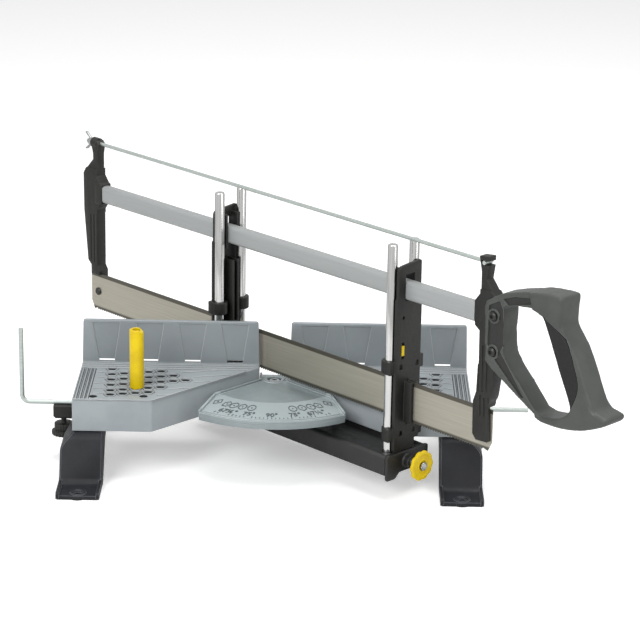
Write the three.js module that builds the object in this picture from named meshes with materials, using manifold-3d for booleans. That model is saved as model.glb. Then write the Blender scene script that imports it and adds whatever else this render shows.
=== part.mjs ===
// Guided mitre box: two cast tables with fences, a protractor plate, and a swing arm whose four rods
// carry the guides of a frame saw. Millimetres, +Z up, +X along the fence, +Y behind it.
// The origin is on the pivot's axis, at the protractor's surface. The saw is set to 45 degrees right.
import * as THREE from "three";
import { mergeVertices } from "three/addons/utils/BufferGeometryUtils.js";
import Module from "manifold-3d";

const wasm = await Module();
wasm.setup();

// Clearances, and how far a cut or a joined solid runs past a face
const seatGap = 0.3;
const runGap = 0.35;
const overrun = 2;
const weldDistance = 1e-4;

// Straight steps in a curve of an outline
const curveSteps = 3;
const wideCurveSteps = 12;

// Setting of the saw
const restAngle = -Math.PI / 4;

// Heights from the protractor's surface
const tableTop = 13.5;
const tableBottom = -17.8;
const benchLevel = -66.5;

// Tables and fences
const tableReach = 188.4;
const tableFront = 102.2;
const tableWall = 3.5;
const tableSkin = 3;
const kerfClearance = 7.85;
const fenceFace = 4.5;
const fenceThickness = 4;
const fenceTop = 57.2;
const fenceGap = 14.85;
const fenceDraft = 1.5;
const fenceCorner = 2;
const fencePanelTopWidth = 27;
const fencePanelFootWidth = 15.4;
const fencePanelHeight = 40;
const fencePanelDepth = 0.8;
const fenceSlotHeight = 2.5;
const fenceSlotRise = 1;
const fencePanelShares = [0.139, 0.378, 0.617, 0.862];

// Ribs and peg holes of a table's top
const ribHeight = 0.7;
const ribWidth = 1.6;
const ribPitch = 6;
const fenceRibCount = 3;
const edgeRibInset = 3.4;
const edgeRibPitch = 3.4;
const edgeRibWidth = 1.2;
const edgeRibCount = 4;
const pegHoleRadius = 4;
const pegHoleSides = 8;
const pegColumnInset = 31;
const pegColumnPitch = 11.75;
const pegRowStart = 15;
const pegRowPitch = 15;
const pegRowRise = 2.75;
const pegRowLean = 0.8;
const pegLastRowPitch = 11.5;
const pegFirstRows = [0, 1, 1, 1, 1, 2, 3];
const pegLastRows = [5, 5, 5, 5, 4, 3, 3];
const pegEdgeMargin = 12;
const loneHoles = [[19.2, 91.8], [66.7, 89.4]];

// Protractor plate
const plateRadius = 117.1;
const plateHalfAngle = 0.637;
const plateCornerDepth = 46.4;
const plateRear = 15;
const plateThickness = 4;
const plateRimDepth = 8;
const plateRimWidth = 4;
const plateGap = 0.4;
const ridgeWidth = 2.6;
const ridgeHeight = 3.4;
const bossRingRadius = 10.5;
const bossRingHeight = 1.2;
const bossRadius = 12;
const bossBottom = -21.7;
const boltRecessRadius = 7;
const boltRecessDepth = 3;
const skirtWidth = 5;
const skirtRear = 6;
const skirtFront = 40;
const lugThickness = 3.5;
const lugWidth = 14;
const rearLugReach = 78;
const rearLugDepth = 12;
const frontLugReach = 96;
const frontLugDepth = 38;
const lugScrewInset = 8;

// Index rib under the protractor, and the angles of its notches
const indexOuter = 80;
const indexInner = 72;
const indexBottom = -19;
const indexHalfAngle = 0.82;
const indexAngles = [0, 15, 22.5, 30, 36, 45];
const notchDepth = 5;

// Pivot bolt
const boltRadius = 4;
const boltHeadRadius = 5.25;
const washerRadius = 9;
const washerThickness = 1.6;
const nutRadius = 7.5;
const nutHeight = 6;
const boltTip = -36;

// Screws that hold the protractor and the feet to the tables
const screwRadius = 1.75;
const screwHeadRadius = 3.5;
const screwHeadHeight = 2.2;
const screwLength = 14;
const screwSides = 10;
const hexSides = 6;
const screwBossRadius = 4.5;
const pilotRadius = 2.05;
const footScrewInset = 9.9;
const footScrewReach = tableReach - footScrewInset;
const footScrewFrontDepth = 62;
const footScrewRearDepth = 8;

// Feet
const footFlare = 10.9;
const footDeckWidth = 29.6;
const footWaistInset = 0.9;
const footOuter = tableReach + footFlare;
const footInner = tableReach - footDeckWidth;
const footWaist = tableReach - footWaistInset;
const footWall = 3;
const footKnee = -31;
const footLipFront = 155.5;
const footLipThickness = 4;
const footBendDepth = 122;
const footRampTopDepth = 107;
const footRampCorner = 6;
const footRampThickness = 3;
const footCheekRise = 3;
const footHeelDepth = 111;
const footArchDepth = 85;
const footArchHeight = -32;
const footArchEnd = 53;
const footBridge = 4;
const footRearFront = 38;
const footRearBack = 64;
const footRearWall = 4;
const footHoleDepth = 146.5;
const footHoleRadius = 3;
const footHoleRim = 7.4;
const footHoleRimHeight = 1;
const footFrontRibDepth = 80;
const footRibDepth = 5;

// Length stop: bent rod, its clamp and the clamp's screw
const stopRadius = 2.25;
const stopDepth = 45;
const stopHeight = -10.5;
const stopOverhangLeft = 53.6;
const stopOverhangRight = 57.6;
const stopReachLeft = tableReach + stopOverhangLeft;
const stopReachRight = tableReach + stopOverhangRight;
const stopTop = 64;
const stopBend = 7;
const stopBore = 2.7;
const clampLength = 23.2;
const clampScrewReach = 13.8;
const clampOuter = tableReach + clampLength;
const clampTop = -12.2;
const clampBottom = -25.5;
const clampHalfWidth = 7;
const clampSpigotRadius = 5;
const clampSpigotLength = 4.5;
const thumbShankRadius = 2.6;
const thumbNeckRadius = 9.3;
const thumbNeckTop = -31.2;
const thumbHeadRadius = 12;
const thumbHeadTop = -38.6;
const thumbHeadBottom = -43;
const thumbLobes = 12;

// Cam peg
const pegRadius = 6.75;
const pegTop = 72;
const pegSpigotRadius = 3.05;
const pegSpigotLength = 9;
const pegBoreRadius = 4;
const pegBoreDepth = 30;
const pegSlant = 4;
const pegEccentricity = 3.5;
const pegTurn = 1.28;
const pegColumn = 2;
const pegRow = 4;

// Swing arm
const armHalfWidth = 27;
const armTop = -22;
const armBottom = -41.5;
const armWall = 2.5;
const armRear = -90;
const armFootGap = 20.6;
const armFront = (tableReach - footDeckWidth) * Math.SQRT2 - armHalfWidth - armFootGap;
const armCorner = 3;
const armEndThickness = 2.7;
const armEndLug = 5.5;
const armEndLugWidth = 12;
const armEndFlare = 2;
const armEndBossRadius = 6;
const armEndBossLength = 7;

// Rods of the guides and their sockets
const rodRadius = 4.75;
const rodSpacing = 14.4;
const frontRodInset = 8.4;
const frontRodPlace = armFront - frontRodInset;
const rearRodPlace = -64.4;
const rodTop = 179.5;
const rodFoot = -35.6;
const rodSides = 16;
const rodChamfer = 0.8;
const blockRear = 11.6;
const blockFront = 7.8;
const blockBottom = -38.5;

// Detent plunger, spring and knob
const plungerHeight = -31.7;
const plungerRadius = 4;
const plungerInner = 74;
const plungerHeadLength = 13;
const plungerHeadHalfWidth = 6;
const toothInner = 81;
const toothLength = 5;
const toothHalfWidth = 2.5;
const toothTop = -14.5;
const plungerTravel = 6;
const collarPlace = 101;
const collarThickness = 3;
const collarRadius = 6.4;
const springRadius = 5.5;
const springWire = 0.8;
const springTurns = 9;
const springSteps = 8;
const springSides = 5;
const knobOverhang = 20.1;
const knobRear = armFront + knobOverhang;
const knobThickness = 3.4;
const knobRadius = 14.5;
const knobLobes = 10;
const knobLobeDepth = 0.7;
const knobHubRadius = 5.8;
const bossFront = armFront + seatGap + armEndThickness + armEndBossLength;
const knobHubLength = knobRear - plungerTravel - runGap - bossFront;
const studRadius = 3;
const knobNutRadius = 4.4;
const knobNutHeight = 2.2;
const studLength = knobThickness + knobNutHeight + 2 * seatGap;
const studTip = knobRear + studLength;

// Guides
const guideFoot = -21.7;
const guideTop = 162;
const guideHalfWidth = 16.5;
const guideNeckHalfWidth = 15;
const guideNeckHeight = 128;
const guideWideSide = 20.5;
const guidePlateStart = 6.4;
const guidePlateThickness = 3;
const guideCorner = 5;
const guideRibInner = 2;
const guideRibThickness = 2.4;
const guideRibReach = 8.5;
const guideRibBottom = -10;
const guideRibTop = 110;
const ringRadius = 8;
const lowerRingRadius = 6.3;
const upperRingBottom = 55.7;
const lowerRingBottom = -10.3;
const ringHeight = 12.6;
const guideNotchReach = 5.4;
const guideNotchTop = -12;
const windowHalfWidth = 6;
const windowTop = 151;
const shoeThickness = 3.5;
const shoeReach = 18.4;
const shoeBottom = 7;
const shoeTop = 47;
const bladeSlotHalfWidth = 0.8;
const sightHoleHeight = 109.5;
const sightHoleRadius = 1.8;
const guideSideHoleOffset = 7.4;
const ventWidth = 4.4;
const ventHeight = 5;
const latchHeight = 77.5;
const latchSlotHalfHeight = 8;
const latchSlotHalfWidth = 1.8;
const latchHalfHeight = 4.9;
const latchFlange = 2.4;
const latchFlangeHalfWidth = 2.6;
const latchProud = 0.8;

// Saw: spacer bar
const barHeight = 18;
const barThickness = 11;
const barCentre = 135.1;
const barCorner = 3.5;
const barRear = -257;
const barFront = 262;
const barBottom = barCentre - barHeight / 2;
const tongueLength = 10;
const tongueHalfHeight = 5;
const tongueHalfWidth = 3;

// Saw: blade
const bladeRearOverhang = 21;
const bladeFrontOverhang = 22;
const bladeRear = barRear - bladeRearOverhang;
const bladeFront = barFront + bladeFrontOverhang;
const bladeBottom = 6.7;
const bladeTop = 46.9;
const bladeHalfThickness = 0.45;
const toothPitch = 3;
const toothHeight = 1.7;
const bladeCorner = 9;
const rearPinInset = 11;
const rearPinPlace = bladeRear + rearPinInset;
const rearPinHeight = 27;
const frontPinInset = 13.5;
const frontPinPlace = bladeFront - frontPinInset;
const frontPinHeight = 24;
const pinRadius = 2.6;
const pinHeadRadius = 4;
const pinHeadThickness = 1.5;

// Saw: tension rod and its wing nut
const tensionRadius = 1.8;
const tensionRearHeight = 187;
const tensionFrontHeight = 183.5;
const tensionRearOverhang = 25;
const tensionFrontOverhang = 9;
const tensionRear = barRear - tensionRearOverhang;
const tensionFront = barFront + tensionFrontOverhang;
const tensionCrossHalf = 5.4;
const wingHubRadius = 3.6;
const wingHubLength = 6;
const wingHubOverhang = 16.2;
const wingHubFront = barRear - wingHubOverhang;
const wingReach = 9;
const wingThickness = 1.8;
const wingHeight = 6;

// Saw: brackets. Their outlines are shares of their width and height
const bracketHalfThickness = 6;
const bracketNeckHalf = 4.5;
const rearBracketOverhang = 25.5;
const rearBracketLeft = barRear - rearBracketOverhang;
const rearBracketFoot = 22;
const rearBracketWidth = 27.5;
const rearBracketHeight = 169;
const rearBracketShares = [
  [0.42, 1.0], [0.73, 0.995], [0.84, 0.975], [0.76, 0.911], [0.76, 0.778], [0.964, 0.737],
  [1.0, 0.723], [0.876, 0.589], [0.764, 0.565], [0.727, 0.207], [0.858, 0.176], [0.829, 0.0],
  [0.4, 0.0], [0.393, 0.205], [0.211, 0.231], [0.011, 0.552], [0.0, 0.779], [0.12, 0.811],
  [0.51, 0.879], [0.5, 0.919], [0.38, 0.978],
];
const rearNeckShare = 0.82;
const rearTangShare = 0.15;
const frontBracketLeft = barFront + seatGap;
const frontBracketFoot = 16.2;
const frontBracketWidth = 33.7;
const frontBracketHeight = 173.9;
const frontBracketShares = [
  [0.08, 0.992], [0.421, 1.0], [0.421, 0.953], [0.359, 0.876], [0.659, 0.807], [1.0, 0.769],
  [1.0, 0.47], [0.739, 0.436], [0.739, 0.343], [0.668, 0.252], [0.561, 0.194], [0.614, 0.005],
  [0.211, 0.0], [0.083, 0.03], [0.062, 0.207], [0.166, 0.265], [0.196, 0.435], [0.181, 0.601],
  [0.033, 0.623], [0.0, 0.752], [0.178, 0.796], [0.172, 0.911],
];
const frontNeckShare = 0.82;
const frontTangShare = 0.19;
const clawInset = 4.9;
const clawStart = barFront + clawInset;
const clawHalfHeight = 2.1;

// Saw: handle. Its outlines are shares of its length and height
const handleOverhang = 16;
const handleRear = barFront + handleOverhang;
const handleBottom = 57;
const handleLength = 145.2;
const handleHeight = 118.8;
const handleRootHalf = 10.5;
const rootChamfer = 1.5;
const gripHalf = 14;
const gripChamfer = 3.4;
const handleSlotHalf = 6.3;
const handleShares = [
  [0.0, 0.751], [0.036, 0.814], [0.134, 0.887], [0.329, 0.958], [0.477, 0.992], [0.605, 1.0],
  [0.621, 0.973], [0.614, 0.824], [0.621, 0.756], [0.708, 0.629], [0.792, 0.435], [0.852, 0.277],
  [0.903, 0.209], [0.985, 0.194], [1.0, 0.157], [0.964, 0.119], [0.821, 0.042], [0.668, 0.002],
  [0.492, 0.0], [0.385, 0.061], [0.162, 0.213], [0.033, 0.308], [0.015, 0.377],
];
const handOpeningShares = [
  [0.158, 0.731], [0.172, 0.8], [0.379, 0.842], [0.454, 0.813], [0.486, 0.787], [0.623, 0.424],
  [0.709, 0.205], [0.697, 0.139], [0.62, 0.072], [0.489, 0.042], [0.434, 0.069], [0.304, 0.234],
  [0.165, 0.418],
];
const gripSideShares = [[0.33, 1.1], [1.1, 1.1], [1.1, -0.1], [0.44, -0.1], [0.44, 0.3], [0.42, 0.7]];
const gripPadShares = [
  [0.478, 0.795], [0.513, 0.793], [0.656, 0.694], [0.743, 0.492], [0.773, 0.349], [0.729, 0.2],
  [0.7, 0.207], [0.615, 0.424],
];
const gripPadDepth = 2;
const gripPadWrap = 3;
const handleScrewInset = 10.8;
const handleScrewPlace = handleRear + handleScrewInset;
const upperScrewHeight = 139.3;
const lowerScrewHeight = 106;
const handleScrewRadius = 2.5;
const handleScrewHeadRadius = 4.2;
const handleScrewHeadHeight = 2;

// Colours, roughness and metalness
const castGrey = { color: 0xa5aaac, roughness: 0.55, metalness: 0.2 };
const plateGrey = { color: 0x8d9491, roughness: 0.5, metalness: 0.3 };
const black = { color: 0x32322d, roughness: 0.5, metalness: 0 };
const footBlack = { color: 0x323237, roughness: 0.55, metalness: 0 };
const handleGrey = { color: 0x555752, roughness: 0.5, metalness: 0 };
const padBlack = { color: 0x2a2a28, roughness: 0.85, metalness: 0 };
const yellow = { color: 0xdcc314, roughness: 0.4, metalness: 0 };
const chrome = { color: 0xd8d8d6, roughness: 0.12, metalness: 1 };
const steel = { color: 0x9f9f9a, roughness: 0.35, metalness: 1 };
const barGrey = { color: 0x969b96, roughness: 0.45, metalness: 0.4 };
const bladeSteel = { color: 0xa5a091, roughness: 0.35, metalness: 0.8 };

// A three.js geometry as a solid, and a solid as a geometry
function solidOf(geometry) {
  const bare = new THREE.BufferGeometry();
  bare.setAttribute("position", geometry.getAttribute("position"));
  if (geometry.index) bare.setIndex(geometry.index);
  const merged = mergeVertices(bare, weldDistance);
  return new wasm.Manifold(
    new wasm.Mesh({
      numProp: 3,
      vertProperties: merged.attributes.position.array,
      triVerts: new Uint32Array(merged.index.array),
    }),
  );
}

function geometryOf(solid) {
  const mesh = solid.getMesh();
  const geometry = new THREE.BufferGeometry();
  geometry.setAttribute("position", new THREE.BufferAttribute(mesh.vertProperties, 3));
  geometry.setIndex(new THREE.BufferAttribute(mesh.triVerts, 1));
  const faceted = geometry.toNonIndexed();
  faceted.computeVertexNormals();
  return faceted;
}

const join = (...solids) => solids.reduce((whole, next) => whole.add(next));
const cut = (body, ...tools) => tools.reduce((rest, tool) => rest.subtract(tool), body);

function node(name, solid, look) {
  const mesh = new THREE.Mesh(geometryOf(solid), new THREE.MeshStandardMaterial(look));
  mesh.name = name;
  return mesh;
}

// An outline through points [a, b]. A third number cuts that corner back and rounds it.
function outline(points) {
  const shape = new THREE.Shape();
  points.forEach(([a, b, radius = 0], i) => {
    const corner = new THREE.Vector2(a, b);
    const before = new THREE.Vector2(...points.at(i - 1).slice(0, 2)).sub(corner).setLength(radius);
    const after = new THREE.Vector2(...points[(i + 1) % points.length].slice(0, 2))
      .sub(corner)
      .setLength(radius);
    const start = corner.clone().add(before);
    const end = corner.clone().add(after);
    if (i === 0) shape.moveTo(start.x, start.y);
    else shape.lineTo(start.x, start.y);
    if (radius > 0) shape.quadraticCurveTo(corner.x, corner.y, end.x, end.y);
  });
  shape.closePath();
  return shape;
}

const rectangle = (a0, a1, b0, b1, radius = 0) =>
  outline([[a0, b0, radius], [a1, b0, radius], [a1, b1, radius], [a0, b1, radius]]);

// A round or lobed outline about (a, b), whose radius may vary from one corner to the next.
function disc(a, b, radius, sides = screwSides, radiusAt = () => radius) {
  const points = [];
  for (let i = 0; i < sides; i += 1) {
    const angle = ((i + 0.5) / sides) * 2 * Math.PI;
    points.push([a + radiusAt(i) * Math.cos(angle), b + radiusAt(i) * Math.sin(angle)]);
  }
  return outline(points);
}

// An outline's points moved inwards, each edge by its own margin. The points run anticlockwise.
function shrink(points, margins) {
  const edges = points.map((point, i) => {
    const here = new THREE.Vector2(...point);
    const along = new THREE.Vector2(...points[(i + 1) % points.length]).sub(here).normalize();
    const inward = new THREE.Vector2(-along.y, along.x);
    return { from: here.addScaledVector(inward, margins[i]), along };
  });
  return edges.map((edge, i) => {
    const last = edges.at(i - 1);
    const between = edge.from.clone().sub(last.from);
    const reach = between.cross(edge.along) / last.along.cross(edge.along);
    return last.from.clone().addScaledVector(last.along, reach).toArray();
  });
}

// Points given as shares of a width and a height
const placed = (shares, left, foot, width, height) =>
  shares.map(([a, b]) => [left + a * width, foot + b * height]);

// Solids drawn as an outline and run along one axis. Along Y it is drawn in X and Z, along X in Y and Z.
function alongZ(shape, from, to, curveSegments = curveSteps) {
  const depth = to - from;
  const geometry = new THREE.ExtrudeGeometry(shape, { depth, bevelEnabled: false, curveSegments });
  return solidOf(geometry.translate(0, 0, from));
}

function alongY(shape, from, to, curveSegments = curveSteps) {
  const depth = to - from;
  const geometry = new THREE.ExtrudeGeometry(shape, { depth, bevelEnabled: false, curveSegments });
  return solidOf(geometry.rotateX(Math.PI / 2).translate(0, to, 0));
}

function alongX(shape, from, to, curveSegments = curveSteps) {
  const depth = to - from;
  const geometry = new THREE.ExtrudeGeometry(shape, { depth, bevelEnabled: false, curveSegments });
  geometry.rotateX(Math.PI / 2).rotateZ(Math.PI / 2);
  return solidOf(geometry.translate(from, 0, 0));
}

// A plate across Y with chamfered rims, and with flared ones where the chamfer is negative.
// Its points run anticlockwise in X and Z.
function chamferedAcross(points, half, chamfer) {
  const rim = shrink(points, points.map(() => chamfer));
  const shoulder = half - Math.abs(chamfer);
  const rings = [[rim, -half], [points, -shoulder], [points, shoulder], [rim, half]];
  const positions = rings.flatMap(([ring, y]) => ring.flatMap(([x, z]) => [x, y, z]));
  const count = points.length;
  const last = (rings.length - 1) * count;
  const index = [];
  for (let ring = 0; ring < rings.length - 1; ring += 1)
    for (let i = 0; i < count; i += 1) {
      const a = ring * count + i;
      const b = ring * count + ((i + 1) % count);
      index.push(b, a, a + count, b, a + count, b + count);
    }
  const contour = rim.map((point) => new THREE.Vector2(...point));
  for (const [a, b, c] of THREE.ShapeUtils.triangulateShape(contour, []))
    index.push(a, b, c, last + c, last + b, last + a);
  const geometry = new THREE.BufferGeometry();
  geometry.setAttribute("position", new THREE.Float32BufferAttribute(positions, 3));
  geometry.setIndex(index);
  return solidOf(geometry);
}

// A body turned about the vertical at (x, y), from points [radius, height]
function revolved(x, y, points, sides) {
  const profile = points.map(([radius, height]) => new THREE.Vector2(radius, height));
  const geometry = new THREE.LatheGeometry(profile, sides).rotateX(Math.PI / 2);
  return solidOf(geometry.translate(x, y, 0));
}

// Tables
const slantInset = kerfClearance * Math.SQRT2;
const mirror = (points, side) => points.map(([x, y]) => [side * x, y]);

// A table's plan on the right, from the rear inner corner and anticlockwise
function tablePlan() {
  return [
    [fenceGap, fenceFace + fenceThickness],
    [fenceGap, slantInset - fenceGap],
    [tableFront + slantInset, -tableFront],
    [tableReach, -tableFront],
    [tableReach, fenceFace + fenceThickness],
  ];
}

// Centre of a peg hole on the right. The last row stands closer to the one before.
function pegPlace(column, row) {
  const shortened = row === Math.max(...pegLastRows) ? pegRowPitch - pegLastRowPitch : 0;
  return [
    tableReach - pegColumnInset - column * pegColumnPitch - row * pegRowLean,
    column * pegRowRise - pegRowStart - row * pegRowPitch + shortened,
  ];
}

// Centres of all peg holes on the right: the columns, and two holes on their own
function pegPlaces() {
  const places = loneHoles.map(([inset, depth]) => [tableReach - inset, -depth]);
  pegFirstRows.forEach((first, column) => {
    for (let row = first; row <= pegLastRows[column]; row += 1) places.push(pegPlace(column, row));
  });
  return places.filter(([x, y]) => (x + y - slantInset) / Math.SQRT2 >= pegEdgeMargin);
}

function fence(side) {
  const length = tableReach - fenceGap;
  const foot = tableTop - tableSkin;
  const plan = [
    [fenceGap, foot],
    [tableReach, foot],
    [tableReach - fenceDraft, fenceTop, fenceCorner],
    [fenceGap + fenceDraft, fenceTop, fenceCorner],
  ].map(([x, z, radius]) => [side * x, z, radius]);
  let body = alongY(outline(plan), fenceFace, fenceFace + fenceThickness);
  for (const share of fencePanelShares) {
    const centre = side * (fenceGap + share * length);
    const panelFoot = tableTop + fenceSlotRise + fenceSlotHeight;
    const panel = outline([
      [centre - fencePanelFootWidth / 2, panelFoot],
      [centre + fencePanelFootWidth / 2, panelFoot],
      [centre + fencePanelTopWidth / 2, panelFoot + fencePanelHeight - fenceSlotHeight],
      [centre - fencePanelTopWidth / 2, panelFoot + fencePanelHeight - fenceSlotHeight],
    ]);
    const slot = rectangle(
      centre - fencePanelFootWidth / 2,
      centre + fencePanelFootWidth / 2,
      tableTop + fenceSlotRise,
      panelFoot + weldDistance,
    );
    body = cut(
      body,
      alongY(panel, fenceFace - overrun, fenceFace + fencePanelDepth),
      alongY(slot, fenceFace - overrun, fenceFace + fenceThickness + overrun),
    );
  }
  return body;
}

// Ribs along the fence's foot and along the outer edge
function tableRibs(side) {
  const ribs = [];
  for (let i = 0; i < fenceRibCount; i += 1) {
    const y = fenceFace - ribWidth - (i + 0.5) * ribPitch + ribWidth;
    const inner = Math.max(fenceGap, slantInset - y) + ribWidth + tableWall;
    const plan = rectangle(side * inner, side * (tableReach - ribWidth), y - ribWidth, y);
    ribs.push(alongZ(plan, tableTop - tableSkin / 2, tableTop + ribHeight));
  }
  const edgeRear = fenceFace - (fenceRibCount + 0.5) * ribPitch;
  for (let i = 0; i < edgeRibCount; i += 1) {
    const x = side * (tableReach - edgeRibInset - i * edgeRibPitch);
    const plan = rectangle(x - edgeRibWidth / 2, x + edgeRibWidth / 2, ribWidth - tableFront, edgeRear);
    ribs.push(alongZ(plan, tableTop - tableSkin / 2, tableTop + ribHeight));
  }
  return ribs;
}

const plateScrewPlaces = [
  [frontLugReach - lugScrewInset, -frontLugDepth],
  [rearLugReach - lugScrewInset, -rearLugDepth],
];
const footScrewPlaces = [
  [footScrewReach, -footScrewFrontDepth],
  [footScrewReach, -footScrewRearDepth],
];

function table(side) {
  const plan = tablePlan();
  const inner = shrink(plan, [tableWall, tableWall, tableWall, tableWall, fenceThickness]);
  let body = cut(
    alongZ(outline(mirror(plan, side)), tableBottom, tableTop),
    alongZ(outline(mirror(inner, side)), tableBottom - overrun, tableTop - tableSkin),
  );
  body = join(body, fence(side), ...tableRibs(side));
  for (const [x, y] of [...plateScrewPlaces, ...footScrewPlaces]) {
    const boss = disc(side * x, y, screwBossRadius, screwSides);
    body = join(body, alongZ(boss, tableBottom, tableTop - tableSkin / 2));
    const pilot = disc(side * x, y, pilotRadius, screwSides);
    body = cut(body, alongZ(pilot, tableBottom - overrun, tableBottom + screwLength));
  }
  for (const place of pegPlaces()) {
    const hole = disc(side * place[0], place[1], pegHoleRadius, pegHoleSides);
    body = cut(body, alongZ(hole, tableTop - tableSkin - overrun, tableTop + ribHeight + overrun));
  }
  const from = side < 0 ? -tableReach - overrun : 0;
  const to = side < 0 ? 0 : tableReach + overrun;
  const way = alongX(disc(-stopDepth, stopHeight, stopBore), from, to);
  const wide = disc(-stopDepth, stopHeight, clampSpigotRadius + seatGap);
  const mouthFrom = side < 0 ? from : tableReach - tableWall - overrun;
  const mouthTo = side < 0 ? overrun + tableWall - tableReach : to;
  return cut(body, way, alongX(wide, mouthFrom, mouthTo));
}

// Protractor plate
const plateSide = fenceGap - plateGap;
const plateSlant = slantInset - plateGap * Math.SQRT2;

// The right half's corners, from the rear and clockwise: rear, side, lug corner, arc end
function plateCorners() {
  return [
    [plateSide, plateRear],
    [plateSide, plateSlant - plateSide],
    [plateCornerDepth + plateSlant, -plateCornerDepth],
    [plateRadius * Math.sin(plateHalfAngle), -plateRadius * Math.cos(plateHalfAngle)],
  ];
}

function platePlan() {
  const corners = plateCorners();
  const shape = new THREE.Shape();
  shape.moveTo(...corners[0]);
  corners.slice(1).forEach((corner) => shape.lineTo(...corner));
  const down = -Math.PI / 2;
  shape.absarc(0, 0, plateRadius, down + plateHalfAngle, down - plateHalfAngle, true);
  mirror(corners, -1)
    .reverse()
    .slice(1)
    .forEach((corner) => shape.lineTo(...corner));
  shape.closePath();
  return shape;
}

// A ring's sector about the pivot, centred on the front
function ringSector(inner, outer, halfAngle) {
  const down = -Math.PI / 2;
  const shape = new THREE.Shape();
  shape.absarc(0, 0, outer, down - halfAngle, down + halfAngle, false);
  shape.absarc(0, 0, inner, down + halfAngle, down - halfAngle, true);
  shape.closePath();
  return shape;
}

function sideRidge() {
  const corners = plateCorners();
  const points = [...mirror(corners, -1), ...corners.slice().reverse()];
  const open = -plateRadius;
  const margins = [ridgeWidth, ridgeWidth, ridgeWidth, open, ridgeWidth, ridgeWidth, ridgeWidth, open];
  const inner = outline(shrink(points, margins));
  return cut(
    alongZ(platePlan(), -plateThickness / 2, ridgeHeight, wideCurveSteps),
    alongZ(inner, -plateThickness, ridgeHeight + overrun),
  );
}

function indexNotches() {
  return indexAngles.flatMap((degrees) =>
    (degrees === 0 ? [1] : [1, -1]).map((turn) => {
      const angle = turn * THREE.MathUtils.degToRad(degrees) - Math.PI / 2;
      const plan = rectangle(
        indexOuter - notchDepth,
        indexOuter + overrun,
        -toothHalfWidth - runGap,
        toothHalfWidth + runGap,
      );
      const notch = new THREE.ExtrudeGeometry(plan, {
        depth: -plateThickness - overrun / 2 - indexBottom + overrun,
        bevelEnabled: false,
      });
      return solidOf(notch.translate(0, 0, indexBottom - overrun).rotateZ(angle));
    }),
  );
}

// Skirt along a slanted side, and the lugs that pass under the table
function plateLugs(side) {
  const skirt = [
    [plateSlant + skirtRear, -skirtRear],
    [plateSlant + skirtRear - skirtWidth, -skirtRear],
    [plateSlant + skirtFront - skirtWidth, -skirtFront],
    [plateSlant + skirtFront, -skirtFront],
  ];
  const lugTop = tableBottom - seatGap;
  const lugBottom = lugTop - lugThickness;
  const skirtSolid = alongZ(outline(mirror(skirt, side)), lugBottom, -plateThickness / 2);
  const lugs = [
    [rearLugReach, rearLugDepth],
    [frontLugReach, frontLugDepth],
  ].map(([reach, depth]) => {
    const root = plateSlant + depth - skirtWidth;
    const plan = rectangle(side * root, side * reach, -depth - lugWidth / 2, lugWidth / 2 - depth);
    return alongZ(plan, lugBottom, lugTop);
  });
  const seats = plateScrewPlaces.map(([x, y]) => screwSeat(side * x, y, lugBottom));
  return cut(join(skirtSolid, ...lugs), ...seats);
}

// A screw driven upwards whose countersunk head is flush with the face at foot
function screw(x, y, foot) {
  return revolved(
    x,
    y,
    [
      [0, foot],
      [screwHeadRadius, foot],
      [screwRadius, foot + screwHeadHeight],
      [screwRadius, foot + screwLength],
      [0, foot + screwLength],
    ],
    screwSides,
  );
}

function screwSeat(x, y, foot) {
  return revolved(
    x,
    y,
    [
      [0, foot - overrun],
      [screwHeadRadius + seatGap, foot - overrun],
      [screwHeadRadius + seatGap, foot],
      [screwRadius + seatGap, foot + screwHeadHeight],
      [screwRadius + seatGap, foot + screwLength],
      [0, foot + screwLength],
    ],
    screwSides,
  );
}

function protractorPlate() {
  const rim = ringSector(plateRadius - plateRimWidth, plateRadius, plateHalfAngle);
  const index = ringSector(indexInner, indexOuter, indexHalfAngle);
  const body = join(
    alongZ(platePlan(), -plateThickness, 0, wideCurveSteps),
    alongZ(rim, -plateRimDepth, -plateThickness / 2, wideCurveSteps),
    sideRidge(),
    alongZ(disc(0, 0, bossRingRadius, rodSides), -plateThickness / 2, bossRingHeight),
    alongZ(disc(0, 0, bossRadius, rodSides), bossBottom, -plateThickness / 2),
    cut(alongZ(index, indexBottom, -plateThickness / 2, wideCurveSteps), ...indexNotches()),
    plateLugs(1),
    plateLugs(-1),
  );
  return cut(
    body,
    alongZ(disc(0, 0, boltRecessRadius, rodSides), -boltRecessDepth, bossRingHeight + overrun),
    alongZ(disc(0, 0, boltRadius + seatGap, rodSides), bossBottom - overrun, 0),
  );
}

function pivotBolt() {
  return join(
    alongZ(disc(0, 0, boltHeadRadius, rodSides), seatGap - boltRecessDepth, 0),
    alongZ(disc(0, 0, boltRadius, rodSides), boltTip, -boltRecessDepth / 2),
  );
}

const washerTop = armTop - armWall - seatGap;
const nutTop = washerTop - washerThickness - seatGap;

function pivotRing(radius, sides, top, bottom) {
  return cut(
    alongZ(disc(0, 0, radius, sides), bottom, top),
    alongZ(disc(0, 0, boltRadius + seatGap, rodSides), bottom - overrun, top + overrun),
  );
}

// Feet. The side profile is drawn in Y and Z, and the outer cheek flares outwards.
function footCheekProfile() {
  const top = tableBottom - seatGap;
  return [
    [-footLipFront, benchLevel, footCheekRise],
    [-footHeelDepth, benchLevel, footCheekRise],
    [-footArchDepth, footArchHeight],
    [-footArchEnd, top - footBridge],
    [-footArchEnd, top],
    [footCheekRise - footRampTopDepth, top, footRampCorner],
    [-footBendDepth, benchLevel + footLipThickness + footCheekRise, footCheekRise],
    [-footLipFront, benchLevel + footLipThickness + footCheekRise, footCheekRise],
  ];
}

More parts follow.
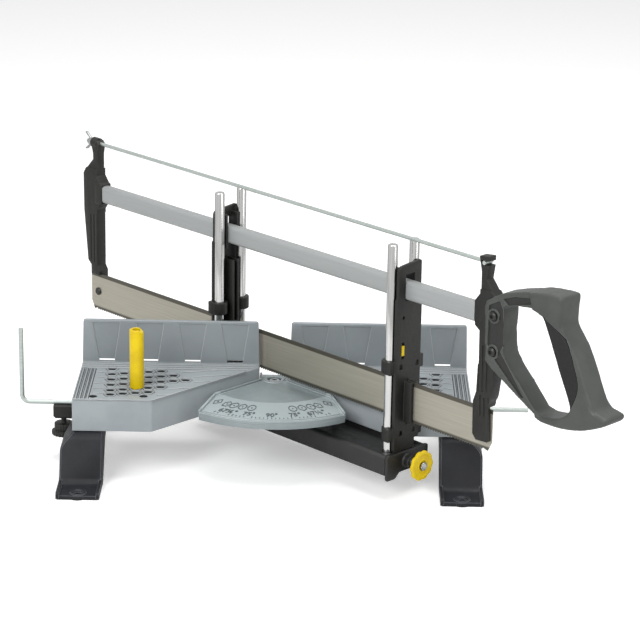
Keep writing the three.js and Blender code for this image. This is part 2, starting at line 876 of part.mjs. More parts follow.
// A foot seen from the front, moved in by the inset. It flares outwards down to the knee.
function footFront(side, inset) {
  const run = inset > 0 ? overrun : 0;
  const shape = outline(
    mirror(
      [
        [footInner + inset, benchLevel - run],
        [footOuter - inset, benchLevel - run],
        [footOuter - inset, footKnee],
        [footWaist - inset, tableBottom - seatGap],
        [footWaist - inset, tableBottom - seatGap + run],
        [footInner + inset, tableBottom - seatGap + run],
      ],
      side,
    ),
  );
  return alongY(shape, -footLipFront - overrun, footRearBack + overrun);
}

function foot(side) {
  const top = tableBottom - seatGap;
  const cheek = outline(footCheekProfile());
  const span = (x0, x1) => (side < 0 ? [-x1, -x0] : [x0, x1]);
  const bothCheeks = cut(
    alongX(cheek, ...span(footInner, footOuter)).intersect(footFront(side, 0)),
    footFront(side, footWall),
  );
  const within = footFront(side, footWall / 2);
  const lip = alongX(
    rectangle(-footLipFront, -footBendDepth + footWall, benchLevel, benchLevel + footLipThickness),
    ...span(footInner, footOuter),
  ).intersect(within);
  const ramp = alongX(
    outline([
      [-footBendDepth, benchLevel],
      [footRampThickness - footBendDepth, benchLevel],
      [footRampThickness + footRampCorner - footRampTopDepth, top - footBridge],
      [footRampThickness + footRampCorner - footRampTopDepth, top],
      [-footRampTopDepth, top, footRampCorner],
      [-footBendDepth - footWall, benchLevel + footLipThickness],
    ]),
    ...span(footInner, footOuter),
  ).intersect(within);
  const deck = alongZ(
    rectangle(...span(footInner, footWaist), footRampCorner - footRampTopDepth, -footArchEnd),
    top - footBridge,
    top,
  );
  const bridge = alongZ(
    rectangle(...span(footInner, footWaist), -footArchEnd - overrun, footRearBack),
    top - footBridge,
    top,
  );
  const leg = cut(
    alongZ(rectangle(...span(footInner, footWaist), footRearFront, footRearBack), benchLevel, top),
    alongZ(
      rectangle(
        ...span(footInner + footRearWall, footWaist - footRearWall),
        footRearFront - overrun,
        footRearBack - footRearWall,
      ),
      benchLevel + footLipThickness,
      top - footBridge,
    ),
  );
  const holeX = (side * (footInner + footOuter)) / 2;
  const rim = disc(holeX, -footHoleDepth, footHoleRim, 16);
  const lipTop = benchLevel + footLipThickness;
  const rimSolid = alongZ(rim, benchLevel, lipTop + footHoleRimHeight);
  const hole = disc(holeX, -footHoleDepth, footHoleRadius, screwSides);
  const holeSolid = alongZ(hole, benchLevel - overrun, lipTop + footHoleRimHeight + overrun);
  const ribs = [-footFrontRibDepth, -footArchEnd + footRearFront].map((y) =>
    alongX(
      rectangle(y - footWall / 2, y + footWall / 2, top - footBridge - footRibDepth, top - footBridge / 2),
      ...span(footInner + footWall / 2, footWaist - footWall / 2),
    ),
  );
  const body = join(bothCheeks, lip, ramp, deck, bridge, leg, rimSolid, ...ribs);
  const footFace = top - footBridge;
  const seats = footScrewPlaces.map(([x, y]) => screwSeat(side * x, y, footFace));
  return cut(body, holeSolid, ...seats);
}

// Length stop: the rod lies along X and turns up at its left end
function stopRod() {
  const path = new THREE.CurvePath();
  const rise = new THREE.Vector3(-stopReachLeft, -stopDepth, stopHeight + stopBend);
  const elbow = new THREE.Vector3(-stopReachLeft, -stopDepth, stopHeight);
  const run = new THREE.Vector3(stopBend - stopReachLeft, -stopDepth, stopHeight);
  const top = new THREE.Vector3(-stopReachLeft, -stopDepth, stopTop);
  const end = new THREE.Vector3(stopReachRight, -stopDepth, stopHeight);
  path.add(new THREE.LineCurve3(top, rise));
  path.add(new THREE.QuadraticBezierCurve3(rise, elbow, run));
  path.add(new THREE.LineCurve3(run, end));
  return path;
}

// A round bar swept through stations, each a centre and the direction that it faces, with closed ends
function swept(stations, radius, sides) {
  const positions = [];
  const index = [];
  const side = new THREE.Vector3();
  const up = new THREE.Vector3();
  stations.forEach(({ centre, ahead, across }) => {
    side.copy(across).normalize();
    up.crossVectors(ahead, side).normalize();
    for (let i = 0; i < sides; i += 1) {
      const angle = (i / sides) * 2 * Math.PI;
      const point = centre
        .clone()
        .addScaledVector(side, radius * Math.cos(angle))
        .addScaledVector(up, radius * Math.sin(angle));
      positions.push(...point.toArray());
    }
  });
  for (let ring = 0; ring < stations.length - 1; ring += 1)
    for (let i = 0; i < sides; i += 1) {
      const a = ring * sides + i;
      const b = ring * sides + ((i + 1) % sides);
      index.push(a, b, a + sides, b, b + sides, a + sides);
    }
  const last = (stations.length - 1) * sides;
  for (let i = 1; i < sides - 1; i += 1) {
    index.push(0, i + 1, i);
    index.push(last, last + i, last + i + 1);
  }
  const geometry = new THREE.BufferGeometry();
  geometry.setAttribute("position", new THREE.Float32BufferAttribute(positions, 3));
  geometry.setIndex(index);
  return solidOf(geometry);
}

function lengthStopRod() {
  const across = new THREE.Vector3(0, 1, 0);
  const path = stopRod();
  const [leg, bend, run] = path.curves;
  const bendSteps = 5;
  const stations = [{ centre: leg.v1, ahead: leg.getTangent(0), across }];
  for (let i = 0; i <= bendSteps; i += 1) {
    const share = i / bendSteps;
    stations.push({ centre: bend.getPoint(share), ahead: bend.getTangent(share), across });
  }
  stations.push({ centre: run.v2, ahead: run.getTangent(1), across });
  return swept(stations, stopRadius, screwSides);
}

function rodClamp() {
  const inner = tableReach + seatGap;
  const trough = alongX(
    outline([
      [-stopDepth - clampHalfWidth, clampTop],
      [-stopDepth - clampHalfWidth, clampBottom, overrun],
      [clampHalfWidth - stopDepth, clampBottom, overrun],
      [clampHalfWidth - stopDepth, clampTop],
    ]),
    -clampOuter,
    -inner,
  );
  const spigot = disc(-stopDepth, stopHeight, clampSpigotRadius);
  const bore = disc(-stopDepth, stopHeight, stopBore);
  const open = rectangle(-stopDepth - stopBore, stopBore - stopDepth, stopHeight, clampTop + overrun);
  const screwX = -tableReach - clampScrewReach;
  return cut(
    join(trough, alongX(spigot, -inner - overrun, clampSpigotLength - inner)),
    alongX(bore, -clampOuter - overrun, clampSpigotLength + overrun - inner),
    alongX(open, -clampOuter - overrun, -inner - overrun),
    alongZ(disc(screwX, -stopDepth, thumbShankRadius + seatGap), clampBottom - overrun, stopHeight),
  );
}

function clampThumbScrew() {
  const x = -tableReach - clampScrewReach;
  const lobed = disc(x, -stopDepth, thumbHeadRadius, 2 * thumbLobes, (i) =>
    i % 2 ? thumbHeadRadius : thumbHeadRadius - knobLobeDepth,
  );
  const tip = stopHeight - stopRadius - seatGap;
  return join(
    alongZ(disc(x, -stopDepth, thumbShankRadius), thumbHeadBottom / 2 + thumbHeadTop / 2, tip),
    alongZ(disc(x, -stopDepth, thumbNeckRadius, rodSides), thumbHeadTop - overrun / 2, thumbNeckTop),
    alongZ(lobed, thumbHeadBottom, thumbHeadTop),
  );
}

// Cam peg: its spigot is off centre, so that a turn presses the peg on the work
function camPeg() {
  const [holeX, holeY] = pegPlace(pegColumn, pegRow);
  const x = pegEccentricity * Math.cos(pegTurn) - holeX;
  const y = holeY + pegEccentricity * Math.sin(pegTurn);
  const foot = tableTop + seatGap;
  const column = revolved(
    x,
    y,
    [
      [0, foot],
      [pegRadius, foot],
      [pegRadius, pegTop - rodChamfer],
      [pegRadius - rodChamfer, pegTop],
      [0, pegTop],
    ],
    rodSides,
  );
  const bore = alongZ(disc(x, y, pegBoreRadius, rodSides), pegTop - pegBoreDepth, pegTop + overrun);
  const slant = alongY(
    outline([
      [x - pegRadius - overrun, pegTop + overrun],
      [x + pegRadius + overrun, pegTop + overrun],
      [x + pegRadius + overrun, pegTop - pegSlant],
      [x + pegRadius / 3, pegTop],
      [x - pegRadius - overrun, pegTop],
    ]),
    y - pegRadius - overrun,
    y + pegRadius + overrun,
  );
  const spigot = alongZ(disc(-holeX, holeY, pegSpigotRadius, screwSides), foot - pegSpigotLength, foot + overrun);
  return join(cut(column, bore, slant), spigot);
}

// Swing arm. From here on X runs along the arm and Y across it, until the whole group is turned.
const acrossArm = (halfWidth, bottom, top, corner = 0) =>
  outline([
    [-halfWidth, bottom],
    [halfWidth, bottom],
    [halfWidth, top, corner],
    [-halfWidth, top, corner],
  ]);

const rodPlaces = [-rodSpacing, rodSpacing];

function armChannel() {
  const shell = cut(
    alongX(acrossArm(armHalfWidth, armBottom, armTop, armCorner), armRear, armFront),
    alongX(
      acrossArm(armHalfWidth - armWall, armBottom - overrun, armTop - armWall),
      armRear - overrun,
      armFront + overrun,
    ),
  );
  const holes = [frontRodPlace, rearRodPlace].flatMap((t) =>
    rodPlaces.map((y) => {
      const hole = disc(t, y, rodRadius + seatGap, rodSides);
      return alongZ(hole, armTop - armWall - overrun, armTop + overrun);
    }),
  );
  const slot = rectangle(
    toothInner - plungerTravel - runGap,
    toothInner + toothLength + runGap,
    -toothHalfWidth - runGap,
    toothHalfWidth + runGap,
  );
  return cut(
    shell,
    ...holes,
    alongZ(slot, armTop - armWall - overrun, armTop + overrun),
    alongZ(disc(0, 0, boltRadius + seatGap, rodSides), armTop - armWall - overrun, armTop + overrun),
  );
}

function armEndBracket() {
  const rear = armFront + seatGap;
  const face = alongX(
    outline([
      [-armHalfWidth, armBottom - armEndLug, armCorner],
      [armEndLugWidth - armHalfWidth, armBottom - armEndLug],
      [armEndLugWidth + armEndLug - armHalfWidth, armBottom],
      [armHalfWidth + armEndFlare, armBottom],
      [armHalfWidth + armEndFlare, armTop, armCorner],
      [-armHalfWidth, armTop, armCorner],
    ]),
    rear,
    rear + armEndThickness,
  );
  const boss = alongX(disc(0, plungerHeight, armEndBossRadius, rodSides), rear, bossFront);
  const bore = disc(0, plungerHeight, plungerRadius + runGap, rodSides);
  return cut(join(face, boss), alongX(bore, rear - overrun, bossFront + overrun));
}

function rodBlock(place, bored) {
  const top = armTop - armWall - seatGap;
  const halfWidth = armHalfWidth - armWall - seatGap;
  let body = alongX(acrossArm(halfWidth, blockBottom, top), place - blockRear, place + blockFront);
  for (const y of rodPlaces) {
    const socket = disc(place, y, rodRadius + seatGap, rodSides);
    body = cut(body, alongZ(socket, rodFoot - seatGap, top + overrun));
  }
  if (!bored) return body;
  const bore = disc(0, plungerHeight, plungerRadius + runGap, rodSides);
  return cut(body, alongX(bore, place - blockRear - overrun, place + blockFront + overrun));
}

function guideRod(place, y) {
  return revolved(
    place,
    y,
    [
      [0, rodFoot],
      [rodRadius, rodFoot],
      [rodRadius, rodTop - rodChamfer],
      [rodRadius - rodChamfer, rodTop],
      [0, rodTop],
    ],
    rodSides,
  );
}

function detentPlunger() {
  const shoulder = knobRear - seatGap;
  const shaft = disc(0, plungerHeight, plungerRadius, rodSides);
  const headHalf = plungerHeadHalfWidth;
  const headTop = armTop - armWall - runGap;
  const head = rectangle(-headHalf, headHalf, plungerHeight - plungerRadius, headTop);
  const tooth = rectangle(-toothHalfWidth, toothHalfWidth, plungerHeight, toothTop);
  return join(
    alongX(shaft, plungerInner, shoulder),
    alongX(head, plungerInner + overrun, plungerInner + plungerHeadLength + overrun),
    alongX(tooth, toothInner, toothInner + toothLength),
    alongX(disc(0, plungerHeight, collarRadius, rodSides), collarPlace, collarPlace + collarThickness),
    alongX(disc(0, plungerHeight, studRadius, screwSides), shoulder - overrun, studTip),
  );
}

// Compression spring between the plunger's collar and the front rod block
function plungerSpring() {
  const from = collarPlace + collarThickness + springWire + seatGap;
  const to = frontRodPlace - blockRear - springWire - seatGap;
  const stations = [];
  const count = springTurns * springSteps;
  for (let i = 0; i <= count; i += 1) {
    const share = i / count;
    const angle = share * springTurns * 2 * Math.PI;
    const out = new THREE.Vector3(0, Math.cos(angle), Math.sin(angle));
    const centre = new THREE.Vector3(from + share * (to - from), 0, plungerHeight);
    const turnSpeed = (springTurns * 2 * Math.PI * springRadius) / (to - from);
    const ahead = new THREE.Vector3(1, -turnSpeed * Math.sin(angle), turnSpeed * Math.cos(angle));
    stations.push({ centre: centre.addScaledVector(out, springRadius), ahead, across: out });
  }
  return swept(stations, springWire, springSides);
}

function lockKnob() {
  const lobed = disc(0, plungerHeight, knobRadius, 4 * knobLobes, (i) =>
    i % 4 < 2 ? knobRadius : knobRadius - knobLobeDepth,
  );
  const hub = disc(0, plungerHeight, knobHubRadius, rodSides);
  const stud = disc(0, plungerHeight, studRadius + seatGap, screwSides);
  const shaft = disc(0, plungerHeight, plungerRadius + seatGap, rodSides);
  return cut(
    join(
      alongX(lobed, knobRear, knobRear + knobThickness),
      alongX(hub, knobRear - knobHubLength, knobRear + overrun),
    ),
    alongX(stud, knobRear - overrun, knobRear + knobThickness + overrun),
    alongX(shaft, knobRear - knobHubLength - overrun, knobRear),
  );
}

function knobNut() {
  const rear = knobRear + knobThickness + seatGap;
  return cut(
    alongX(disc(0, plungerHeight, knobNutRadius, hexSides), rear, rear + knobNutHeight),
    alongX(disc(0, plungerHeight, studRadius + seatGap, screwSides), rear - overrun, rear + 2 * knobNutHeight),
  );
}

// A guide. out is the distance from the rods' axis, away from the pivot; direction is 1 in front of
// the pivot and -1 behind it, and wide is the half width on the +Y side below the neck.
function guide(place, direction, wide) {
  const span = (out0, out1) =>
    direction > 0 ? [place + out0, place + out1] : [place - out1, place - out0];
  const plateOuter = guidePlateStart + guidePlateThickness;
  const face = outline([
    [-guideHalfWidth, guideFoot, armCorner],
    [wide, guideFoot, armCorner],
    [wide, guideNeckHeight],
    [guideNeckHalfWidth, guideNeckHeight],
    [guideNeckHalfWidth, guideTop, armCorner],
    [-guideNeckHalfWidth, guideTop - armCorner, guideCorner],
    [-guideNeckHalfWidth, guideNeckHeight],
    [-guideHalfWidth, guideNeckHeight],
  ]);
  let body = alongX(face, ...span(guidePlateStart, plateOuter));
  for (const y of rodPlaces)
    for (const [bottom, radius] of [
      [upperRingBottom, ringRadius],
      [lowerRingBottom, lowerRingRadius],
    ]) {
      const ring = disc(place, y, radius, rodSides);
      body = join(body, alongZ(ring, bottom, bottom + ringHeight));
      const web = rectangle(y - ringRadius, y + ringRadius, bottom, bottom + ringHeight);
      body = join(body, alongX(web, ...span(0, plateOuter - guidePlateThickness / 2)));
    }
  for (const side of [-1, 1]) {
    const rib = rectangle(
      side * guideRibInner,
      side * (guideRibInner + guideRibThickness),
      guideRibBottom,
      guideRibTop,
    );
    body = join(body, alongX(rib, ...span(-guideRibReach, plateOuter - guidePlateThickness / 2)));
    const shoe = rectangle(
      side * bladeSlotHalfWidth,
      side * (bladeSlotHalfWidth + shoeThickness),
      shoeBottom,
      shoeTop,
    );
    body = join(body, alongX(shoe, ...span(-guideRibReach, shoeReach)));
    const jamb = rectangle(
      side * windowHalfWidth,
      side * (windowHalfWidth + guideRibThickness),
      barBottom - guideCorner,
      windowTop + guideCorner,
    );
    body = join(body, alongX(jamb, ...span(-guidePlateThickness, plateOuter - guidePlateThickness / 2)));
  }
  const through = span(-guideRibReach - overrun, shoeReach + overrun);
  const window = rectangle(-windowHalfWidth, windowHalfWidth, barBottom - seatGap, windowTop);
  const kerf = rectangle(
    -bladeSlotHalfWidth,
    bladeSlotHalfWidth,
    shoeBottom - toothHeight - overrun,
    shoeTop + overrun,
  );
  body = cut(body, alongX(window, ...through), alongX(kerf, ...through));
  for (const y of rodPlaces) {
    const bore = disc(place, y, rodRadius + seatGap, rodSides);
    body = cut(body, alongZ(bore, guideFoot - overrun, guideTop));
  }
  const plate = span(guidePlateStart - overrun / 2, plateOuter + overrun);
  const sightHole = disc(-guideSideHoleOffset, sightHoleHeight, sightHoleRadius);
  const vents = [
    [-guideSideHoleOffset - overrun, upperRingBottom + ringHeight / 2],
    [guideHalfWidth - ventWidth, upperRingBottom + ringHeight / 2],
    [-guideSideHoleOffset, lowerRingBottom + ringHeight / 2],
    [guideSideHoleOffset + guideRibInner, lowerRingBottom + ringHeight / 2],
  ].map(([y, z]) => {
    const [half, rise] = [ventWidth / 2, ventHeight / 2];
    return alongX(rectangle(y - half, y + half, z - rise, z + rise), ...plate);
  });
  return cut(body, alongX(sightHole, ...plate), ...vents);
}

function frontGuide() {
  const slot = rectangle(
    -guideSideHoleOffset - latchSlotHalfWidth,
    latchSlotHalfWidth - guideSideHoleOffset,
    latchHeight - latchSlotHalfHeight,
    latchHeight + latchSlotHalfHeight,
  );
  const start = frontRodPlace + guidePlateStart;
  const slotSolid = alongX(slot, start - overrun / 2, start + guidePlateThickness + overrun);
  const notch = rectangle(
    guideHalfWidth - guideNotchReach,
    guideHalfWidth + overrun,
    guideFoot - overrun,
    guideNotchTop,
  );
  const notchSolid = alongX(notch, start - overrun / 2, start + guidePlateThickness + overrun);
  return cut(guide(frontRodPlace, 1, guideHalfWidth), slotSolid, notchSolid);
}

function guideLatch() {
  const start = frontRodPlace + guidePlateStart;
  const neck = latchSlotHalfWidth - seatGap;
  const button = rectangle(
    -guideSideHoleOffset - neck,
    neck - guideSideHoleOffset,
    latchHeight - latchHalfHeight,
    latchHeight + latchHalfHeight,
    neck / 2,
  );
  const flange = rectangle(
    -guideSideHoleOffset - latchFlangeHalfWidth,
    latchFlangeHalfWidth - guideSideHoleOffset,
    latchHeight - latchHalfHeight,
    latchHeight + latchHalfHeight,
  );
  return join(
    alongX(button, start - latchFlange, start + guidePlateThickness + latchProud),
    alongX(flange, start - latchFlange - seatGap, start - seatGap),
  );
}

// Blade: its teeth point down
function sawBlade() {
  const points = [
    [bladeRear, bladeTop, bladeHalfThickness],
    [bladeRear, bladeBottom + bladeCorner],
    [bladeRear + bladeCorner / 2, bladeBottom],
  ];
  const toothStart = bladeRear + bladeCorner;
  const toothCount = Math.floor((bladeFront - bladeRear - 2 * bladeCorner) / toothPitch);
  for (let i = 0; i < toothCount; i += 1) {
    const t = toothStart + i * toothPitch;
    points.push([t, bladeBottom + toothHeight]);
    points.push([t + toothPitch / 2, bladeBottom]);
  }
  points.push([toothStart + toothCount * toothPitch, bladeBottom + toothHeight]);
  points.push([bladeFront - bladeCorner / 2, bladeBottom]);
  points.push([bladeFront, bladeBottom + bladeCorner]);
  points.push([bladeFront, bladeTop, bladeHalfThickness]);
  const holes = [
    [rearPinPlace, rearPinHeight],
    [frontPinPlace, frontPinHeight],
  ].map(([t, z]) => alongY(disc(t, z, pinRadius + seatGap), -overrun, overrun));
  return cut(alongY(outline(points), -bladeHalfThickness, bladeHalfThickness), ...holes);
}

// A pin through a bracket's tang and the blade. Its head lies on the side that the tang isn't on.
function bladePin(t, z, headSide) {
  const face = bladeHalfThickness + seatGap;
  const head = [face, face + pinHeadThickness].map((y) => headSide * y).sort((a, b) => a - b);
  const shank = [bladeHalfThickness, -bracketHalfThickness + runGap].map((y) => headSide * y);
  shank.sort((a, b) => a - b);
  return join(
    alongY(disc(t, z, pinHeadRadius, rodSides), ...head),
    alongY(disc(t, z, pinRadius), Math.min(shank[0], head[0]), Math.max(shank[1], head[1])),
  );
}

function spacerBar() {
  const section = rectangle(
    -barThickness / 2,
    barThickness / 2,
    barBottom,
    barBottom + barHeight,
    barCorner,
  );
  const socket = rectangle(
    -tongueHalfWidth - seatGap,
    tongueHalfWidth + seatGap,
    barCentre - tongueHalfHeight - seatGap,
    barCentre + tongueHalfHeight + seatGap,
  );
  return cut(
    alongX(section, barRear, barFront),
    alongX(socket, barRear - overrun, barRear + tongueLength + seatGap),
    alongX(socket, barFront - tongueLength - seatGap, barFront + overrun),
  );
}

const tongueSection = () =>
  rectangle(
    -tongueHalfWidth,
    tongueHalfWidth,
    barCentre - tongueHalfHeight,
    barCentre + tongueHalfHeight,
  );

// A round bar along the tension rod's slightly sloping line
const tensionSlope = (tensionFrontHeight - tensionRearHeight) / (barFront - barRear);
const tensionHeightAt = (t) => tensionRearHeight + (t - barRear) * tensionSlope;

function alongTension(shapeRadius, from, to, sides = screwSides) {
  const across = new THREE.Vector3(0, 1, 0);
  const ahead = new THREE.Vector3(1, 0, tensionSlope).normalize();
  const stations = [from, to].map((t) => ({
    centre: new THREE.Vector3(t, 0, tensionHeightAt(t)),
    ahead,
    across,
  }));
  return swept(stations, shapeRadius, sides);
}

// A bracket's plate, thinner above its neck, with its tang on one side of the blade only
function bracketPlate(points, neckHeight, tangHeight, tangSide) {
  const span = (y0, y1) => (tangSide > 0 ? [y0, y1] : [-y1, -y0]);
  const face = bladeHalfThickness + seatGap;
  const far = bladeFront + handleLength;
  const band = (z0, z1) => rectangle(-far, far, z0, z1);
  const full = alongY(outline(points), -bracketHalfThickness, bracketHalfThickness);
  const side = bracketHalfThickness + overrun;
  return cut(
    full,
    alongY(band(neckHeight, neckHeight + rodTop), -side, -bracketNeckHalf),
    alongY(band(neckHeight, neckHeight + rodTop), bracketNeckHalf, side),
    alongY(band(benchLevel, tangHeight), ...span(-side, face)),
  );
}

function rearBracket() {
  const size = [rearBracketLeft, rearBracketFoot, rearBracketWidth, rearBracketHeight];
  const body = bracketPlate(
    placed(rearBracketShares, ...size),
    rearBracketFoot + rearNeckShare * rearBracketHeight,
    rearBracketFoot + rearTangShare * rearBracketHeight,
    1,
  );
  const pocket = rectangle(
    barRear - seatGap,
    barRear + rearBracketWidth,
    barBottom - seatGap,
    barBottom + barHeight + seatGap,
  );
  const pinHole = disc(rearPinPlace, rearPinHeight, pinRadius + seatGap);
  return join(
    cut(
      body,
      alongY(pocket, -bracketHalfThickness - overrun, bracketHalfThickness + overrun),
      alongY(pinHole, -bracketHalfThickness, bracketHalfThickness + overrun),
      alongTension(tensionRadius + seatGap, tensionRear - overrun, barRear),
    ),
    alongX(tongueSection(), barRear - seatGap - overrun, barRear + tongueLength),
  );
}

function frontBracket() {
  const size = [frontBracketLeft, frontBracketFoot, frontBracketWidth, frontBracketHeight];
  const body = bracketPlate(
    placed(frontBracketShares, ...size),
    frontBracketFoot + frontNeckShare * frontBracketHeight,
    frontBracketFoot + frontTangShare * frontBracketHeight,
    -1,
  );
  const claw = rectangle(
    clawStart,
    clawStart + frontBracketWidth,
    tensionHeightAt(clawStart) - clawHalfHeight,
    tensionHeightAt(clawStart) + clawHalfHeight,
  );
  const pinHole = disc(frontPinPlace, frontPinHeight, pinRadius + seatGap);
  const reach = bracketHalfThickness + overrun;
  const screwHoles = [upperScrewHeight, lowerScrewHeight].map((z) =>
    alongY(disc(handleScrewPlace, z, handleScrewRadius + seatGap), -reach, reach),
  );
  return join(
    cut(
      body,
      alongY(claw, -reach, reach),
      alongY(pinHole, -reach, bracketHalfThickness),
      alongTension(tensionRadius + seatGap, barFront - overrun, clawStart + overrun),
      ...screwHoles,
    ),
    alongX(tongueSection(), barFront - tongueLength, frontBracketLeft + overrun),
  );
}

// Tension rod: its front end has a cross pin that lies in the front bracket's claw
function tensionRod() {
  const cross = disc(tensionFront, tensionHeightAt(tensionFront), tensionRadius);
  return join(
    alongTension(tensionRadius, tensionRear, tensionFront),
    alongY(cross, -tensionCrossHalf, tensionCrossHalf),
  );
}

function wingNut() {
  const hub = alongTension(wingHubRadius, wingHubFront - wingHubLength, wingHubFront, screwSides);
  const rear = wingHubFront - wingHubLength;
  const wings = [-1, 1].map((side) => {
    const axis = tensionHeightAt(rear);
    const inner = axis + side * (tensionRadius + runGap + overrun / 4);
    const outer = axis + side * wingReach;
    const plan = outline([
      [wingHubFront - overrun, inner],
      [rear + overrun, inner],
      [rear - wingHeight, outer],
      [rear - wingHeight + overrun, outer],
    ]);
    return alongY(plan, -wingThickness / 2, wingThickness / 2);
  });
  const bore = alongTension(tensionRadius + seatGap, rear - wingHeight, wingHubFront + overrun);
  return cut(join(hub, ...wings), bore);
}

// Handle: a flat root that straddles the front bracket, a fuller grip, and a soft pad in the grip
const handlePlace = [handleRear, handleBottom, handleLength, handleHeight];
const farSide = 2 * gripHalf;

function padRegion(halfWidth, margin) {
  const points = placed(gripPadShares, ...handlePlace);
  const grown = shrink(points.slice().reverse(), points.map(() => -margin));
  return alongY(outline(grown), -halfWidth, halfWidth);
}

const padCore = (margin) => {
  const points = placed(gripPadShares, ...handlePlace);
  const reach = gripHalf - gripPadDepth - margin;
  const moved = points.map(([t, z]) => [t + gripPadWrap + margin, z]);
  return alongY(outline(moved), -reach, reach);
};

// The handle's outline and its opening as one plate, thicker and more rounded at the grip
function handlePlate(half, chamfer) {
  const profile = placed(handleShares, ...handlePlace).reverse();
  const opening = placed(handOpeningShares, ...handlePlace).reverse();
  return cut(
    chamferedAcross(profile, half, chamfer),
    chamferedAcross(opening, half + overrun, -chamfer - overrun),
  );
}

function handleSolid() {
  const gripSide = alongY(outline(placed(gripSideShares, ...handlePlace)), -farSide, farSide);
  const grip = handlePlate(gripHalf, gripChamfer).intersect(gripSide);
  return join(handlePlate(handleRootHalf, rootChamfer), grip);
}

function handle() {
  const shell = handleSolid();
  const bracketEdge = frontBracketLeft + frontBracketWidth + seatGap;
  const slot = rectangle(handleRear - overrun, bracketEdge, handleBottom, handleBottom + handleHeight);
  const screwHoles = [upperScrewHeight, lowerScrewHeight].map((z) =>
    alongY(disc(handleScrewPlace, z, handleScrewRadius + seatGap), -farSide, farSide),
  );
  const core = shell.intersect(padCore(seatGap));
  return cut(
    join(cut(shell, padRegion(farSide, seatGap)), core),
    alongY(slot, -handleSlotHalf, handleSlotHalf),
    ...screwHoles,
  );
}

function gripPad() {
  return cut(handleSolid().intersect(padRegion(farSide, 0)), padCore(0));
}

function handleScrew(z) {
  const face = handleRootHalf + seatGap;
  return join(
    alongY(disc(handleScrewPlace, z, handleScrewHeadRadius, screwSides), -face - handleScrewHeadHeight, -face),
    alongY(disc(handleScrewPlace, z, handleScrewRadius), -face - overrun / 2, face),
    alongY(disc(handleScrewPlace, z, handleScrewHeadRadius, hexSides), face, face + handleScrewHeadHeight),
  );
}

// The assembly
const box = new THREE.Group();
const lugFace = tableBottom - seatGap - lugThickness;
const footFace = tableBottom - seatGap - footBridge;

box.add(
  node("left_table", table(-1), castGrey),
  node("right_table", table(1), castGrey),
  node("protractor_plate", protractorPlate(), plateGrey),
  node("pivot_bolt", pivotBolt(), steel),
  node("pivot_washer", pivotRing(washerRadius, rodSides, washerTop, washerTop - washerThickness), steel),
  node("pivot_nut", pivotRing(nutRadius, 6, nutTop, nutTop - nutHeight), steel),
  node("left_foot", foot(-1), footBlack),
  node("right_foot", foot(1), footBlack),
  node("length_stop_rod", lengthStopRod(), steel),
  node("rod_clamp", rodClamp(), black),
  node("clamp_thumb_screw", clampThumbScrew(), black),
  node("cam_peg", camPeg(), yellow),
);

for (const [label, side] of [["left", -1], ["right", 1]])
  ["front", "rear"].forEach((end, i) => {
    const [plateX, plateY] = plateScrewPlaces[i];
    const [footX, footY] = footScrewPlaces[i];
    box.add(node(`plate_screw_${label}_${end}`, screw(side * plateX, plateY, lugFace), steel));
    box.add(node(`foot_screw_${label}_${end}`, screw(side * footX, footY, footFace), steel));
  });

const swing = new THREE.Group();
swing.rotation.z = restAngle;
swing.add(
  node("arm_channel", armChannel(), black),
  node("arm_end_bracket", armEndBracket(), black),
  node("front_rod_block", rodBlock(frontRodPlace, true), black),
  node("rear_rod_block", rodBlock(rearRodPlace, false), black),
  node("front_rod_near", guideRod(frontRodPlace, -rodSpacing), chrome),
  node("front_rod_far", guideRod(frontRodPlace, rodSpacing), chrome),
  node("rear_rod_near", guideRod(rearRodPlace, -rodSpacing), chrome),
  node("rear_rod_far", guideRod(rearRodPlace, rodSpacing), chrome),
  node("detent_plunger", detentPlunger(), steel),
  node("plunger_spring", plungerSpring(), steel),
  node("lock_knob", lockKnob(), yellow),
  node("knob_nut", knobNut(), steel),
  node("front_guide", frontGuide(), black),
  node("guide_latch", guideLatch(), yellow),
  node("rear_guide", guide(rearRodPlace, -1, guideWideSide), black),
  node("saw_blade", sawBlade(), bladeSteel),
  node("rear_blade_pin", bladePin(rearPinPlace, rearPinHeight, -1), steel),
  node("front_blade_pin", bladePin(frontPinPlace, frontPinHeight, 1), steel),
  node("spacer_bar", spacerBar(), barGrey),
  node("rear_bracket", rearBracket(), black),
  node("front_bracket", frontBracket(), black),
  node("tension_rod", tensionRod(), steel),
  node("wing_nut", wingNut(), steel),
  node("handle", handle(), handleGrey),
  node("grip_pad", gripPad(), padBlack),
  node("upper_handle_screw", handleScrew(upperScrewHeight), steel),
  node("lower_handle_screw", handleScrew(lowerScrewHeight), steel),
);
box.add(swing);

export default box;
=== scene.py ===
import math

import bmesh
import bpy
from mathutils import Matrix, Vector


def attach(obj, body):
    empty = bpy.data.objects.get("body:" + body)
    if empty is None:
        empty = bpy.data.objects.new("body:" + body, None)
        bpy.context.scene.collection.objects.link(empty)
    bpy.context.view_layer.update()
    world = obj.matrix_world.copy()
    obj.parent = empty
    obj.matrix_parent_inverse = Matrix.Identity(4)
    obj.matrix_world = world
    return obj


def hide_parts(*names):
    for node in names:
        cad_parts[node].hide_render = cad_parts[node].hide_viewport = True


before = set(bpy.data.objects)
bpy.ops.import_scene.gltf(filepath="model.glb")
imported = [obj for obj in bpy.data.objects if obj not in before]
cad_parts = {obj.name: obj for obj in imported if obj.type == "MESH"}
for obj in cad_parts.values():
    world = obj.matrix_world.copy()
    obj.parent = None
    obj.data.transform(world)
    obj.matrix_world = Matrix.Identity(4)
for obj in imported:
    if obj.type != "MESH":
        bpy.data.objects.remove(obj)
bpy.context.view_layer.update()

# Lengths below are in millimetres, and MM turns them into metres
MM = 0.001
SWING_TURN = -math.pi / 4
ROOT_TWO = math.sqrt(2)


# Making and shaping bodies


def let_go():
    """Leaves nothing selected."""
    bpy.ops.object.select_all(action="DESELECT")


